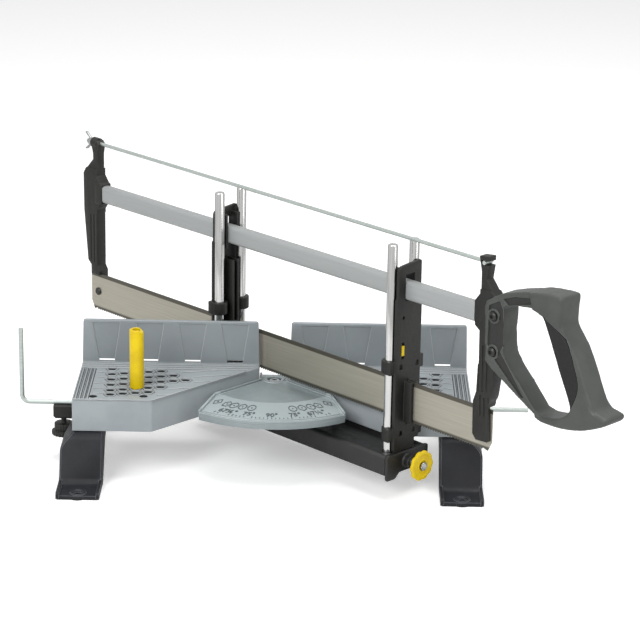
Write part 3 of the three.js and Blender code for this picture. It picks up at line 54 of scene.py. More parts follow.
def take(*objects):
    """Selects these objects, the first of them active."""
    let_go()
    for obj in objects:
        obj.select_set(True)
    bpy.context.view_layer.objects.active = objects[0]
    return objects[0]


def settle(obj):
    """Puts the object's place, turn and scale into its mesh."""
    take(obj)
    bpy.ops.object.transform_apply(location=True, rotation=True, scale=True)
    return obj


def block(low, high):
    """A box between two corners."""
    let_go()
    bpy.ops.mesh.primitive_cube_add(size=1)
    obj = bpy.context.object
    low, high = Vector(low) * MM, Vector(high) * MM
    obj.location = (low + high) / 2
    obj.scale = high - low
    return settle(obj)


TURNS = {"X": (0, math.pi / 2, 0), "Y": (math.pi / 2, 0, 0), "Z": (0, 0, 0)}


def round_bar(start, length, radius, axis="Z", sides=48):
    """A round bar from the middle of its lower end along an axis."""
    let_go()
    bpy.ops.mesh.primitive_cylinder_add(
        vertices=sides, radius=radius * MM, depth=length * MM, rotation=TURNS[axis]
    )
    obj = bpy.context.object
    middle = Vector(start) + Vector([length / 2 * (axis == a) for a in "XYZ"])
    obj.location = middle * MM
    return settle(obj)


def on_plane(a, b, level, axis):
    """The point whose place across the axis is (a, b), at that level along it."""
    if axis == "X":
        return Vector((level, a, b)) * MM
    if axis == "Y":
        return Vector((a, level, b)) * MM
    return Vector((a, b, level)) * MM


def slab(points, low, high, axis="Z"):
    """A plate whose outline runs through the points, from one level to another."""
    let_go()
    bpy.ops.mesh.primitive_circle_add(vertices=len(points), fill_type="NGON")
    obj = bpy.context.object
    for vertex, (a, b) in zip(obj.data.vertices, points):
        vertex.co = on_plane(a, b, low, axis)
    bpy.ops.object.mode_set(mode="EDIT")
    bpy.ops.mesh.select_all(action="SELECT")
    travel = on_plane(0, 0, high, axis) - on_plane(0, 0, low, axis)
    bpy.ops.mesh.extrude_region_move(TRANSFORM_OT_translate={"value": travel})
    bpy.ops.mesh.select_all(action="SELECT")
    bpy.ops.mesh.normals_make_consistent(inside=False)
    bpy.ops.object.mode_set(mode="OBJECT")
    return obj


def turned(profile, place=(0, 0), axis="Z", sides=48):
    """A body turned about an axis through the place, from points (radius, height)."""
    let_go()
    bpy.ops.mesh.primitive_circle_add(vertices=len(profile), fill_type="NOTHING")
    obj = bpy.context.object
    for vertex, (radius, height) in zip(obj.data.vertices, profile):
        vertex.co = Vector((radius, 0, height)) * MM
    bpy.ops.object.mode_set(mode="EDIT")
    bpy.ops.mesh.select_all(action="SELECT")
    bpy.ops.mesh.spin(steps=sides, angle=2 * math.pi, center=(0, 0, 0), axis=(0, 0, 1))
    bpy.ops.mesh.select_all(action="SELECT")
    bpy.ops.mesh.remove_doubles(threshold=1e-6)
    bpy.ops.mesh.dissolve_degenerate()
    bpy.ops.mesh.select_all(action="SELECT")
    bpy.ops.mesh.normals_make_consistent(inside=False)
    bpy.ops.object.mode_set(mode="OBJECT")
    if axis == "X":
        obj.rotation_euler = (0, math.pi / 2, 0)
    if axis == "Y":
        obj.rotation_euler = (-math.pi / 2, 0, 0)
    obj.location = on_plane(*place, 0, axis)
    return settle(obj)


def apply_all(obj):
    take(obj)
    for modifier in list(obj.modifiers):
        bpy.ops.object.modifier_apply(modifier=modifier.name)
    return obj


def soften(obj, width, segments=2, angle=35):
    """Rounds every edge sharper than the angle."""
    bevel = obj.modifiers.new("soften", "BEVEL")
    bevel.width = width * MM
    bevel.segments = segments
    bevel.limit_method = "ANGLE"
    bevel.angle_limit = math.radians(angle)
    bevel.use_clamp_overlap = True
    return apply_all(obj)


def round_edges(obj, width, segments, chosen):
    """Rounds the edges whose two ends, in millimetres, the test chooses."""
    take(obj)
    bpy.ops.object.mode_set(mode="EDIT")
    bpy.ops.mesh.select_mode(type="EDGE")
    bpy.ops.mesh.select_all(action="DESELECT")
    mesh = bmesh.from_edit_mesh(obj.data)
    for edge in mesh.edges:
        edge.select_set(bool(chosen(edge.verts[0].co / MM, edge.verts[1].co / MM)))
    bmesh.update_edit_mesh(obj.data)
    bpy.ops.mesh.bevel(offset=width * MM, segments=segments, affect="EDGES")
    bpy.ops.object.mode_set(mode="OBJECT")
    return obj


def carve(obj, *cutters, operation="DIFFERENCE"):
    """Cuts the cutters out of the body, or joins or crosses them with it."""
    for cutter in cutters:
        boolean = obj.modifiers.new("carve", "BOOLEAN")
        boolean.operation = operation
        boolean.solver = "EXACT"
        boolean.object = cutter
        apply_all(obj)
        bpy.data.objects.remove(cutter)
    return obj


def gather(*objects):
    """Joins objects into the first, each keeping its own shell."""
    take(*objects)
    if len(objects) > 1:
        bpy.ops.object.join()
    return objects[0]


def cloned(obj, move=(0, 0, 0)):
    """A copy with its own mesh, moved along."""
    twin = obj.copy()
    twin.data = obj.data.copy()
    bpy.context.scene.collection.objects.link(twin)
    twin.location = Vector(move) * MM
    return settle(twin)


def moved(obj, move):
    obj.location = Vector(move) * MM
    return settle(obj)


def copies(obj, moves):
    """One copy for each move, joined. The original goes."""
    made = gather(*[cloned(obj, move) for move in moves])
    bpy.data.objects.remove(obj)
    return made


def flipped(obj):
    """The object mirrored left to right."""
    obj.scale = (-1, 1, 1)
    settle(obj)
    bpy.ops.object.mode_set(mode="EDIT")
    bpy.ops.mesh.select_all(action="SELECT")
    bpy.ops.mesh.normals_make_consistent(inside=False)
    bpy.ops.object.mode_set(mode="OBJECT")
    return obj


def turn(obj, angle, axis="Z", about=(0, 0, 0)):
    """The object turned about a line through a point."""
    centre = Matrix.Translation(Vector(about) * MM)
    way = Matrix.Rotation(angle, 4, axis)
    obj.matrix_world = centre @ way @ centre.inverted()
    return settle(obj)


def smooth(obj, angle=35):
    take(obj)
    bpy.ops.object.shade_smooth_by_angle(angle=math.radians(angle))
    return obj


def fit(obj, name, body, slot, material, *nodes, swings=False):
    """Names a finished piece, gives it its material and stands it in for its CAD nodes."""
    if swings:
        turn(obj, SWING_TURN)
    obj.name = name
    obj.data.name = name
    obj.data.materials.clear()
    obj.data.materials.append(material)
    for polygon in obj.data.polygons:
        polygon.material_index = 0
    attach(obj, body)
    if nodes:
        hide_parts(*nodes)
    return obj


def shares_to_points(shares, left, foot, width, height):
    return [(left + a * width, foot + b * height) for a, b in shares]


# Shader groups


def shader_group(name, inputs, outputs):
    """A node group with named inputs (kind, value) and outputs (kind)."""
    tree = bpy.data.node_groups.new(name, "ShaderNodeTree")
    for label, (kind, value) in inputs.items():
        made = tree.interface.new_socket(name=label, in_out="INPUT", socket_type=kind)
        if value is not None:
            made.default_value = value
    for label, kind in outputs.items():
        tree.interface.new_socket(name=label, in_out="OUTPUT", socket_type=kind)
    return tree, tree.nodes.new("NodeGroupInput"), tree.nodes.new("NodeGroupOutput")


def add(tree, kind, **settings):
    node = tree.nodes.new(kind)
    for key, value in settings.items():
        setattr(node, key, value)
    return node


def noise(tree, place, scale, detail=3.0, roughness=0.55):
    node = add(tree, "ShaderNodeTexNoise")
    node.inputs["Detail"].default_value = detail
    node.inputs["Roughness"].default_value = roughness
    tree.links.new(place, node.inputs["Vector"])
    if isinstance(scale, (int, float)):
        node.inputs["Scale"].default_value = scale
    else:
        tree.links.new(scale, node.inputs["Scale"])
    return node.outputs["Fac"]


def remap(tree, value, low, high, to_low=0.0, to_high=1.0, shape="LINEAR"):
    node = add(tree, "ShaderNodeMapRange", interpolation_type=shape)
    tree.links.new(value, node.inputs["Value"])
    levels = {"From Min": low, "From Max": high, "To Min": to_low, "To Max": to_high}
    for label, number in levels.items():
        if isinstance(number, (int, float)):
            node.inputs[label].default_value = number
        else:
            tree.links.new(number, node.inputs[label])
    return node.outputs["Result"]


def maths(tree, operation, first, second):
    node = add(tree, "ShaderNodeMath", operation=operation)
    for socket, value in zip(node.inputs, (first, second)):
        if isinstance(value, (int, float)):
            socket.default_value = value
        else:
            tree.links.new(value, socket)
    return node.outputs["Value"]


def blend_colour(tree, factor, first, second, how="MIX"):
    node = add(tree, "ShaderNodeMix", data_type="RGBA", blend_type=how)
    for label, value in ((0, factor), (6, first), (7, second)):
        socket = node.inputs[label]
        if isinstance(value, (int, float, tuple)):
            socket.default_value = value
        else:
            tree.links.new(value, socket)
    return node.outputs[2]


def make_mottle():
    """Broad cloudy variation of a colour, with its roughness."""
    tree, given, result = shader_group(
        "cloudy_finish",
        {
            "Place": ("NodeSocketVector", None),
            "Colour": ("NodeSocketColor", (0.5, 0.5, 0.5, 1)),
            "Shade": ("NodeSocketColor", (0.4, 0.4, 0.4, 1)),
            "Cloud size": ("NodeSocketFloat", 30.0),
            "Roughness": ("NodeSocketFloat", 0.5),
            "Roughness spread": ("NodeSocketFloat", 0.1),
        },
        {"Colour": "NodeSocketColor", "Roughness": "NodeSocketFloat"},
    )
    clouds = noise(tree, given.outputs["Place"], given.outputs["Cloud size"], 4.0, 0.6)
    spread = remap(tree, clouds, 0.38, 0.62)
    colour = blend_colour(tree, spread, given.outputs["Colour"], given.outputs["Shade"])
    fine_scale = maths(tree, "MULTIPLY", given.outputs["Cloud size"], 7.0)
    fine = noise(tree, given.outputs["Place"], fine_scale, 2.0)
    half = maths(tree, "MULTIPLY", given.outputs["Roughness spread"], 0.5)
    low = maths(tree, "SUBTRACT", given.outputs["Roughness"], half)
    high = maths(tree, "ADD", given.outputs["Roughness"], half)
    rough = remap(tree, fine, 0.3, 0.7, low, high)
    tree.links.new(colour, result.inputs["Colour"])
    tree.links.new(rough, result.inputs["Roughness"])
    return tree


def make_grain():
    """Fine moulded or cast grain, as a height for a bump."""
    tree, given, result = shader_group(
        "fine_grain",
        {"Place": ("NodeSocketVector", None), "Grain size": ("NodeSocketFloat", 900.0)},
        {"Height": "NodeSocketFloat"},
    )
    coarse = noise(tree, given.outputs["Place"], given.outputs["Grain size"], 2.0, 0.5)
    tree.links.new(coarse, result.inputs["Height"])
    return tree


def make_edge_wear_and_sheen():
    """Mask of a body's edges, for colour that is part wear and part painted highlight, and the
    normal that rounds them off.
    """
    tree, given, result = shader_group(
        "edge_wear_and_sheen",
        {"Reach": ("NodeSocketFloat", 0.0006), "Contrast": ("NodeSocketFloat", 6.0)},
        {"Mask": "NodeSocketFloat", "Normal": "NodeSocketVector"},
    )
    bevel = add(tree, "ShaderNodeBevel", samples=6)
    tree.links.new(given.outputs["Reach"], bevel.inputs["Radius"])
    surface = add(tree, "ShaderNodeNewGeometry")
    lean = add(tree, "ShaderNodeVectorMath", operation="DOT_PRODUCT")
    tree.links.new(bevel.outputs["Normal"], lean.inputs[0])
    tree.links.new(surface.outputs["Normal"], lean.inputs[1])
    away = maths(tree, "SUBTRACT", 1.0, lean.outputs["Value"])
    mask = maths(tree, "MULTIPLY", away, given.outputs["Contrast"])
    mask = maths(tree, "MINIMUM", mask, 1.0)
    tree.links.new(mask, result.inputs["Mask"])
    tree.links.new(bevel.outputs["Normal"], result.inputs["Normal"])
    return tree


def make_drawn():
    """Long fine scratches along one direction of the place that is given."""
    tree, given, result = shader_group(
        "drawn_lines",
        {"Place": ("NodeSocketVector", None), "Fineness": ("NodeSocketFloat", 1.0)},
        {"Lines": "NodeSocketFloat"},
    )
    scale = maths(tree, "MULTIPLY", given.outputs["Fineness"], 900.0)
    lines = noise(tree, given.outputs["Place"], scale, 3.0, 0.6)
    tree.links.new(lines, result.inputs["Lines"])
    return tree


CLOUDY = make_mottle()
GRAIN = make_grain()
EDGE_WEAR_AND_SHEEN = make_edge_wear_and_sheen()
DRAWN = make_drawn()


def group_node(tree, group, **values):
    node = add(tree, "ShaderNodeGroup", node_tree=group)
    for label, value in values.items():
        socket = node.inputs[label.replace("_", " ")]
        if isinstance(value, (int, float, tuple)):
            socket.default_value = value
        else:
            tree.links.new(value, socket)
    return node


def linear(red, green, blue):
    """A screen colour, 0 to 255, as the linear colour that a shader takes."""
    made = []
    for level in (red, green, blue):
        share = level / 255
        made.append(share / 12.92 if share <= 0.04045 else ((share + 0.055) / 1.055) ** 2.4)
    return (*made, 1.0)


def stretched_place(tree, turn_z=0.0, stretch=(1, 1, 1)):
    """Object coordinates turned about the upright and then stretched."""
    coordinates = add(tree, "ShaderNodeTexCoord")
    turning = add(tree, "ShaderNodeVectorRotate", rotation_type="Z_AXIS")
    turning.inputs["Angle"].default_value = turn_z
    tree.links.new(coordinates.outputs["Object"], turning.inputs["Vector"])
    scaling = add(tree, "ShaderNodeMapping")
    scaling.inputs["Scale"].default_value = stretch
    tree.links.new(turning.outputs["Vector"], scaling.inputs["Vector"])
    return scaling.outputs["Vector"], turning.outputs["Vector"]


def finish(
    name,
    colour,
    shade,
    rough,
    metallic=0.0,
    spread=0.12,
    clouds=30.0,
    grain=900.0,
    bump=0.05,
    edge=None,
    edge_reach=0.6,
    edge_share=0.5,
    coat=0.0,
    paint=None,
    specular=0.5,
):
    """A finish with cloudy colour, fine grain and lighter edges, which stand partly for wear and
    partly for a painted highlight where the edges catch the light.
    """
    material = bpy.data.materials.new(name)
    material.use_nodes = True
    tree = material.node_tree
    shader = tree.nodes["Principled BSDF"]
    place, _ = stretched_place(tree)
    cloudy = group_node(
        tree,
        CLOUDY,
        Place=place,
        Colour=colour,
        Shade=shade,
        Cloud_size=clouds,
        Roughness=rough,
        Roughness_spread=spread,
    )
    result = cloudy.outputs["Colour"]
    if paint:
        result = paint(tree, result, place)
    wear_and_sheen = group_node(tree, EDGE_WEAR_AND_SHEEN, Reach=edge_reach * MM, Contrast=5.0)
    # The edge colour mixed in here is part wear and part painted highlight where the edges catch the
    # light.
    if edge:
        mask = maths(tree, "MULTIPLY", wear_and_sheen.outputs["Mask"], edge_share)
        result = blend_colour(tree, mask, result, edge)
    tree.links.new(result, shader.inputs["Base Color"])
    tree.links.new(cloudy.outputs["Roughness"], shader.inputs["Roughness"])
    shader.inputs["Metallic"].default_value = metallic
    shader.inputs["Specular IOR Level"].default_value = specular
    shader.inputs["Coat Weight"].default_value = coat
    shader.inputs["Coat Roughness"].default_value = 0.15
    height = group_node(tree, GRAIN, Place=place, Grain_size=grain)
    relief = add(tree, "ShaderNodeBump")
    relief.inputs["Strength"].default_value = bump
    relief.inputs["Distance"].default_value = 0.2 * MM
    tree.links.new(height.outputs["Height"], relief.inputs["Height"])
    tree.links.new(wear_and_sheen.outputs["Normal"], relief.inputs["Normal"])
    tree.links.new(relief.outputs["Normal"], shader.inputs["Normal"])
    return material


def coordinate(tree, place, axis):
    parts = add(tree, "ShaderNodeSeparateXYZ")
    tree.links.new(place, parts.inputs["Vector"])
    return parts.outputs[axis]


def drawn_metal(name, colour, shade, rough, metallic, stretch, turn_z=0.0, paint=None, bump=0.03):
    """Metal with fine lines along one direction."""
    material = bpy.data.materials.new(name)
    material.use_nodes = True
    tree = material.node_tree
    shader = tree.nodes["Principled BSDF"]
    place, turned_place = stretched_place(tree, turn_z, stretch)
    lines = group_node(tree, DRAWN, Place=place, Fineness=1.0)
    share = remap(tree, lines.outputs["Lines"], 0.35, 0.65)
    result = blend_colour(tree, share, colour, shade)
    if paint:
        result = paint(tree, result, turned_place)
    tree.links.new(result, shader.inputs["Base Color"])
    level = remap(tree, lines.outputs["Lines"], 0.3, 0.7, rough - 0.05, rough + 0.07)
    tree.links.new(level, shader.inputs["Roughness"])
    shader.inputs["Metallic"].default_value = metallic
    wear_and_sheen = group_node(tree, EDGE_WEAR_AND_SHEEN, Reach=0.4 * MM, Contrast=5.0)
    relief = add(tree, "ShaderNodeBump")
    relief.inputs["Strength"].default_value = bump
    relief.inputs["Distance"].default_value = 0.1 * MM
    tree.links.new(lines.outputs["Lines"], relief.inputs["Height"])
    tree.links.new(wear_and_sheen.outputs["Normal"], relief.inputs["Normal"])
    tree.links.new(relief.outputs["Normal"], shader.inputs["Normal"])
    return material


def between(tree, value, low, high, blur):
    """1 where a value lies between two levels, with soft edges."""
    up = remap(tree, value, low - blur, low + blur, 0.0, 1.0, "SMOOTHSTEP")
    down = remap(tree, value, high - blur, high + blur, 1.0, 0.0, "SMOOTHSTEP")
    return maths(tree, "MULTIPLY", up, down)


def paint_fence_shade(tree, result, place):
    """Painted shade: the upright fence is coloured darker than the top, for the shade that falls on
    it.
    """
    height = coordinate(tree, place, "Z")
    mask = remap(tree, height, 14.6 * MM, 16.0 * MM, 0.0, 0.3)
    return blend_colour(tree, mask, result, linear(112, 118, 122))


def paint_scale_band(tree, result, place):
    """The protractor's scale is a paler ring about the pivot."""
    flat = add(tree, "ShaderNodeVectorMath", operation="MULTIPLY")
    flat.inputs[1].default_value = (1, 1, 0)
    tree.links.new(place, flat.inputs[0])
    reach = add(tree, "ShaderNodeVectorMath", operation="LENGTH")
    tree.links.new(flat.outputs["Vector"], reach.inputs[0])
    ring = between(tree, reach.outputs["Value"], 67 * MM, 113.2 * MM, 0.5 * MM)
    height = coordinate(tree, place, "Z")
    top = remap(tree, height, -0.5 * MM, 0.0, 0.0, 0.85)
    mask = maths(tree, "MULTIPLY", ring, top)
    return blend_colour(tree, mask, result, linear(170, 181, 183))


def paint_blade(tree, result, place):
    """Dark bands along the blade's back and along its teeth."""
    height = coordinate(tree, place, "Z")
    back = remap(tree, height, 42.6 * MM, 43.2 * MM)
    teeth = remap(tree, height, 9.6 * MM, 11.2 * MM, 1.0, 0.0)
    mask = maths(tree, "MAXIMUM", back, teeth)
    mask = maths(tree, "MULTIPLY", mask, 0.85)
    return blend_colour(tree, mask, result, linear(52, 50, 42))


# The edge colours of the finishes below are part wear and part painted highlight along each body's
# edges.
CAST_GREY = finish(
    "cast_grey",
    linear(151, 158, 161),
    linear(142, 149, 153),
    0.46,
    0.0,
    clouds=18.0,
    grain=1400.0,
    bump=0.06,
    edge=linear(208, 212, 213),
    edge_reach=0.9,
    edge_share=0.75,
    paint=paint_fence_shade,
)
# Painted shade for the insides of the peg holes and the hollow underside of the tables.
CAST_HOLLOW_SHADE = finish(
    "cast_hollow_painted_shade", linear(58, 61, 63), linear(50, 53, 55), 0.7, clouds=25.0, grain=1400.0
)
# Painted shadow for the thin dark lines beside the ribs and beside the ridges about the peg holes.
CAST_RIB_SHADOW = finish(
    "cast_rib_painted_shadow", linear(54, 59, 62), linear(47, 52, 55), 0.6, clouds=25.0, grain=1400.0
)
PLATE_GREY = finish(
    "plate_grey",
    linear(138, 148, 150),
    linear(129, 139, 141),
    0.42,
    0.0,
    clouds=20.0,
    grain=1200.0,
    bump=0.06,
    edge=linear(226, 232, 233),
    edge_reach=0.8,
    edge_share=0.85,
    paint=paint_scale_band,
)
RAISED_MARK = finish(
    "raised_mark", linear(92, 100, 102), linear(84, 92, 94), 0.5, clouds=200.0, edge=None
)
BAR_GREY = drawn_metal(
    "bar_grey",
    linear(162, 165, 165),
    linear(157, 160, 160),
    0.42,
    0.15,
    (0.02, 1, 1),
    -SWING_TURN,
)
BLADE_STEEL = drawn_metal(
    "blade_steel",
    linear(172, 168, 155),
    linear(164, 160, 147),
    0.38,
    0.55,
    (0.02, 1, 1),
    -SWING_TURN,
    paint_blade,
)
CHROME = drawn_metal(
    "chrome_rod", linear(214, 214, 212), linear(196, 196, 196), 0.12, 1.0, (1, 1, 0.03), bump=0.02
)
BRIGHT_STEEL = drawn_metal(
    "bright_steel", linear(186, 188, 188), linear(158, 160, 160), 0.3, 1.0, (0.05, 1, 1), bump=0.04
)
DARK_STEEL = drawn_metal(
    "dark_steel", linear(64, 64, 62), linear(52, 52, 50), 0.4, 0.7, (0.05, 1, 1), bump=0.04
)
WIRE_STEEL = drawn_metal(
    "wire_steel", linear(196, 204, 200), linear(176, 184, 180), 0.32, 0.75, (0.02, 1, 1), bump=0.03
)
FOOT_PLASTIC = finish(
    "foot_plastic",
    linear(29, 30, 34),
    linear(24, 25, 29),
    0.5,
    clouds=40.0,
    grain=2600.0,
    bump=0.16,
    edge=linear(118, 120, 126),
    edge_reach=1.0,
    edge_share=0.75,
    specular=0.3,
)
BLACK_PLASTIC = finish(
    "black_plastic",
    linear(28, 28, 25),
    linear(23, 23, 21),
    0.5,
    clouds=50.0,
    grain=2600.0,
    bump=0.16,
    edge=linear(70, 71, 67),
    edge_reach=0.8,
    specular=0.4,
)
ARM_BLACK = finish(
    "arm_black",
    linear(30, 30, 29),
    linear(24, 25, 24),
    0.42,
    clouds=25.0,
    grain=1600.0,
    bump=0.14,
    edge=linear(76, 78, 76),
    edge_reach=0.9,
)
YELLOW = finish(
    "yellow_plastic",
    linear(226, 196, 0),
    linear(212, 180, 0),
    0.36,
    clouds=60.0,
    grain=2000.0,
    bump=0.05,
    edge=linear(242, 220, 50),
    edge_reach=0.6,
    specular=0.35,
)
HANDLE_GREY = finish(
    "handle_grey",
    linear(72, 75, 72),
    linear(65, 68, 65),
    0.46,
    clouds=35.0,
    grain=2600.0,
    bump=0.14,
    edge=linear(120, 123, 119),
    edge_reach=1.2,
    specular=0.4,
)
# Painted shade for the floors of the side recesses near the handle's root.
HANDLE_RECESS_SHADE = finish(
    "handle_recess_painted_shade", linear(30, 32, 29), linear(25, 27, 24), 0.55, clouds=35.0, grain=2600.0, bump=0.14
)
PAD_RUBBER = finish(
    "pad_rubber",
    linear(36, 36, 36),
    linear(31, 31, 31),
    0.7,
    clouds=50.0,
    grain=1500.0,
    bump=0.3,
    edge=linear(66, 66, 66),
    edge_reach=0.8,
    specular=0.3,
)

LOOKS = {
    "cast_grey": (CAST_GREY, "left_table right_table"),
    "plate_grey": (PLATE_GREY, "protractor_plate"),
    "bright_steel": (
        BRIGHT_STEEL,
        "pivot_bolt pivot_washer pivot_nut plate_screw_left_front plate_screw_left_rear "
        "plate_screw_right_front plate_screw_right_rear foot_screw_left_front "
        "foot_screw_left_rear foot_screw_right_front foot_screw_right_rear "
        "length_stop_rod detent_plunger plunger_spring knob_nut rear_blade_pin "
        "front_blade_pin tension_rod wing_nut upper_handle_screw lower_handle_screw",
    ),
    "foot_plastic": (FOOT_PLASTIC, "left_foot right_foot"),
    "black_plastic": (
        BLACK_PLASTIC,
        "rod_clamp clamp_thumb_screw front_guide rear_guide rear_bracket front_bracket",
    ),
    "arm_black": (ARM_BLACK, "arm_channel arm_end_bracket front_rod_block rear_rod_block"),
    "chrome_rod": (CHROME, "front_rod_near front_rod_far rear_rod_near rear_rod_far"),
    "yellow_plastic": (YELLOW, "cam_peg lock_knob guide_latch"),
    "blade_steel": (BLADE_STEEL, "saw_blade"),
    "bar_grey": (BAR_GREY, "spacer_bar"),
    "handle_grey": (HANDLE_GREY, "handle"),
    "pad_rubber": (PAD_RUBBER, "grip_pad"),
}

for slot_name, (look, node_names) in LOOKS.items():
    for node_name in node_names.split():
        cad_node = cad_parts[node_name]
        cad_node.data.materials.clear()
        cad_node.data.materials.append(look)


# Outlines


def outline(corners, steps=5):
    """A closed outline whose corners are rounded by their third value, where they have one."""
    made = []
    for i, corner in enumerate(corners):
        here = Vector(corner[:2])
        if len(corner) == 2:
            made.append(tuple(here))
            continue
        before = Vector(corners[i - 1][:2]) - here
        after = Vector(corners[(i + 1) % len(corners)][:2]) - here
        start, end = here + before.normalized() * corner[2], here + after.normalized() * corner[2]
        for k in range(steps + 1):
            share = k / steps
            made.append(tuple(start.lerp(here, share).lerp(here.lerp(end, share), share)))
    return made


def flowing(points, steps=3):
    """A closed curve that runs smoothly through the points."""
    made = []
    count = len(points)
    for i in range(count):
        a, b, c, d = (Vector(points[(i + k - 1) % count]) for k in range(4))
        for k in range(steps):
            s = k / steps
            place = 2 * b + (c - a) * s + (2 * a - 5 * b + 4 * c - d) * s**2
            made.append(tuple((place + (3 * b - a - 3 * c + d) * s**3) / 2))
    return made


def stroke(start, end, width, low, high, axis="Y"):
    """A narrow bar along a line, from one level to another."""
    a, b = Vector(start), Vector(end)
    side = (b - a).normalized().orthogonal() * width / 2
    return slab([tuple(p) for p in (a + side, a - side, b - side, b + side)], low, high, axis)


# Tables with their fences


TABLE_REACH = 188.4
TABLE_FRONT = 102.2
TABLE_TOP = 13.5
TABLE_BOTTOM = -17.8
SLANT_INSET = 7.85 * ROOT_TWO
FENCE_GAP = 14.85
FENCE_FACE = 4.5
FENCE_BACK = 8.5
FENCE_TOP = 57.2
RIB_TOP = TABLE_TOP + 0.7
# Level of the thin sheets that carry the painted shadow beside the ribs.
RIB_SHADOW_LEVEL = TABLE_TOP + 0.06
PEG_RADIUS = 4.0
PEG_FIRST_ROWS = [0, 1, 1, 1, 1, 2, 3]
PEG_LAST_ROWS = [5, 5, 5, 5, 4, 3, 3]
LONE_HOLES = [(169.2, -91.8), (121.7, -89.4)]
ROW_SLOPE = -2.75 / 11.75


def peg_place(column, row):
    """Centre of a peg hole of the right table."""
    shorter = 3.5 if row == 5 else 0
    return (157.4 - 11.75 * column - 0.8 * row, 2.75 * column - 15 - 15 * row + shorter)


def peg_places():
    places = list(LONE_HOLES)
    for column, (first, last) in enumerate(zip(PEG_FIRST_ROWS, PEG_LAST_ROWS)):
        places += [peg_place(column, row) for row in range(first, last + 1)]
    return places


def table_outline(inset=0.0):
    """The right table seen from above, each side moved in by the inset."""
    slant = SLANT_INSET + inset * ROOT_TWO
    inner, outer = FENCE_GAP + inset, TABLE_REACH - inset
    front, back = -TABLE_FRONT + inset, FENCE_BACK - inset
    slanted = [(inner, slant - inner), (slant - front, front)]
    return [(inner, back), *slanted, (outer, front), (outer, back)]


def rib(start, end, width=1.3):
    """A low rib from one point of the top to another, with a painted shadow line along either side.
    """
    body = soften(stroke(start, end, width, TABLE_TOP - 0.4, RIB_TOP, "Z"), 0.3, 2, 60)
    return gather(body, stroke(start, end, width + 1.9, TABLE_TOP - 0.4, RIB_SHADOW_LEVEL, "Z"))


def top_ribs():
    """Ribs along the fence, along the outer edge and border, and in rows across the top."""
    ribs = []
    for y in (0.2, -5.6, -11.4):
        inner = max(FENCE_GAP, SLANT_INSET - y) + 4
        ribs.append(rib((inner, y), (TABLE_REACH - 1.2, y), 1.8))
    for x in (185.4, 181.6, 177.8, 174.2):
        ribs.append(rib((x, -TABLE_FRONT + 2), (x, -14.5), 1.4))
    front = -TABLE_FRONT + 0.9
    corner = SLANT_INSET - front + 0.4
    ribs.append(rib((corner, front), (TABLE_REACH - 0.8, front), 1.6))
    ribs.append(rib((corner + 0.8, front), (SLANT_INSET + 17, -15.9), 1.6))
    edge = 1.7 * ROOT_TWO + SLANT_INSET
    for row in range(-1, 6):
        near = -15 - 15 * (row + 0.5)
        if near < -TABLE_FRONT + 4:
            near = -TABLE_FRONT + 6.5
        here = [c for c in range(7) if PEG_FIRST_ROWS[c] - 1 <= row <= PEG_LAST_ROWS[c]]
        last = max(here) if here else 0
        start, end = peg_place(0, row + 0.5)[0] + 7.6, peg_place(last, row + 0.5)[0] - 7.6
        level = lambda x: near + ROW_SLOPE * (x - 157.4)
        if level(172) < -15:
            ribs.append(rib((start, level(start)), (172, level(172))))
        # The row ends where it meets the slanted edge
        far = (edge - near + ROW_SLOPE * 157.4) / (1 + ROW_SLOPE)
        far = max(far, (near + 13.4 - ROW_SLOPE * 157.4) / -ROW_SLOPE)
        if end - far > 4:
            ribs.append(rib((end, level(end)), (far + 1, level(far + 1))))
    return ribs


def hole_ring():
    """Six-sided ridge about a peg hole, centred on the upright, with a painted shadow line along
    either side.
    """
    ring = [(5.9, 0), (3.0, 5.9), (-3.0, 5.9), (-5.9, 0), (-3.0, -5.9), (3.0, -5.9)]
    wall = 0.84
    body = slab(ring, TABLE_TOP - 0.4, RIB_TOP)
    inner = slab([(a * wall, b * wall) for a, b in ring], TABLE_TOP - 2, RIB_TOP + 2)
    soften(carve(body, inner), 0.2, 1, 60)
    # The thin sheet that carries the painted shadow either side of the ridge.
    line = slab([(a * 1.18, b * 1.18) for a, b in ring], TABLE_TOP - 0.4, RIB_SHADOW_LEVEL)
    seat = slab([(a * 0.74, b * 0.74) for a, b in ring], TABLE_TOP - 2, RIB_TOP + 2)
    return gather(body, carve(line, seat))


def hole_cutter():
    """Hole with a small chamfer, centred on the upright."""
    mouth = PEG_RADIUS + 0.5
    profile = [(0, 4), (PEG_RADIUS, 4), (PEG_RADIUS, 13.1), (mouth, 13.6), (mouth, 18), (0, 18)]
    return turned(profile, sides=24)


def fence_panels():
    """Tapered panels sunk in the fence's face, each with a slot at its foot."""
    cutters = []
    for share in (0.139, 0.378, 0.617, 0.862):
        x = FENCE_GAP + share * (TABLE_REACH - FENCE_GAP)
        foot, top = TABLE_TOP + 3.5, TABLE_TOP + 41
        panel = [(x - 7.7, foot), (x + 7.7, foot), (x + 13.5, top), (x - 13.5, top)]
        cutters.append(slab(panel, FENCE_FACE - 2, FENCE_FACE + 0.8, "Y"))
        low = (x - 7.7, FENCE_FACE - 2, TABLE_TOP + 1)
        cutters.append(block(low, (x + 7.7, FENCE_BACK + 2, foot + 0.01)))
    return cutters


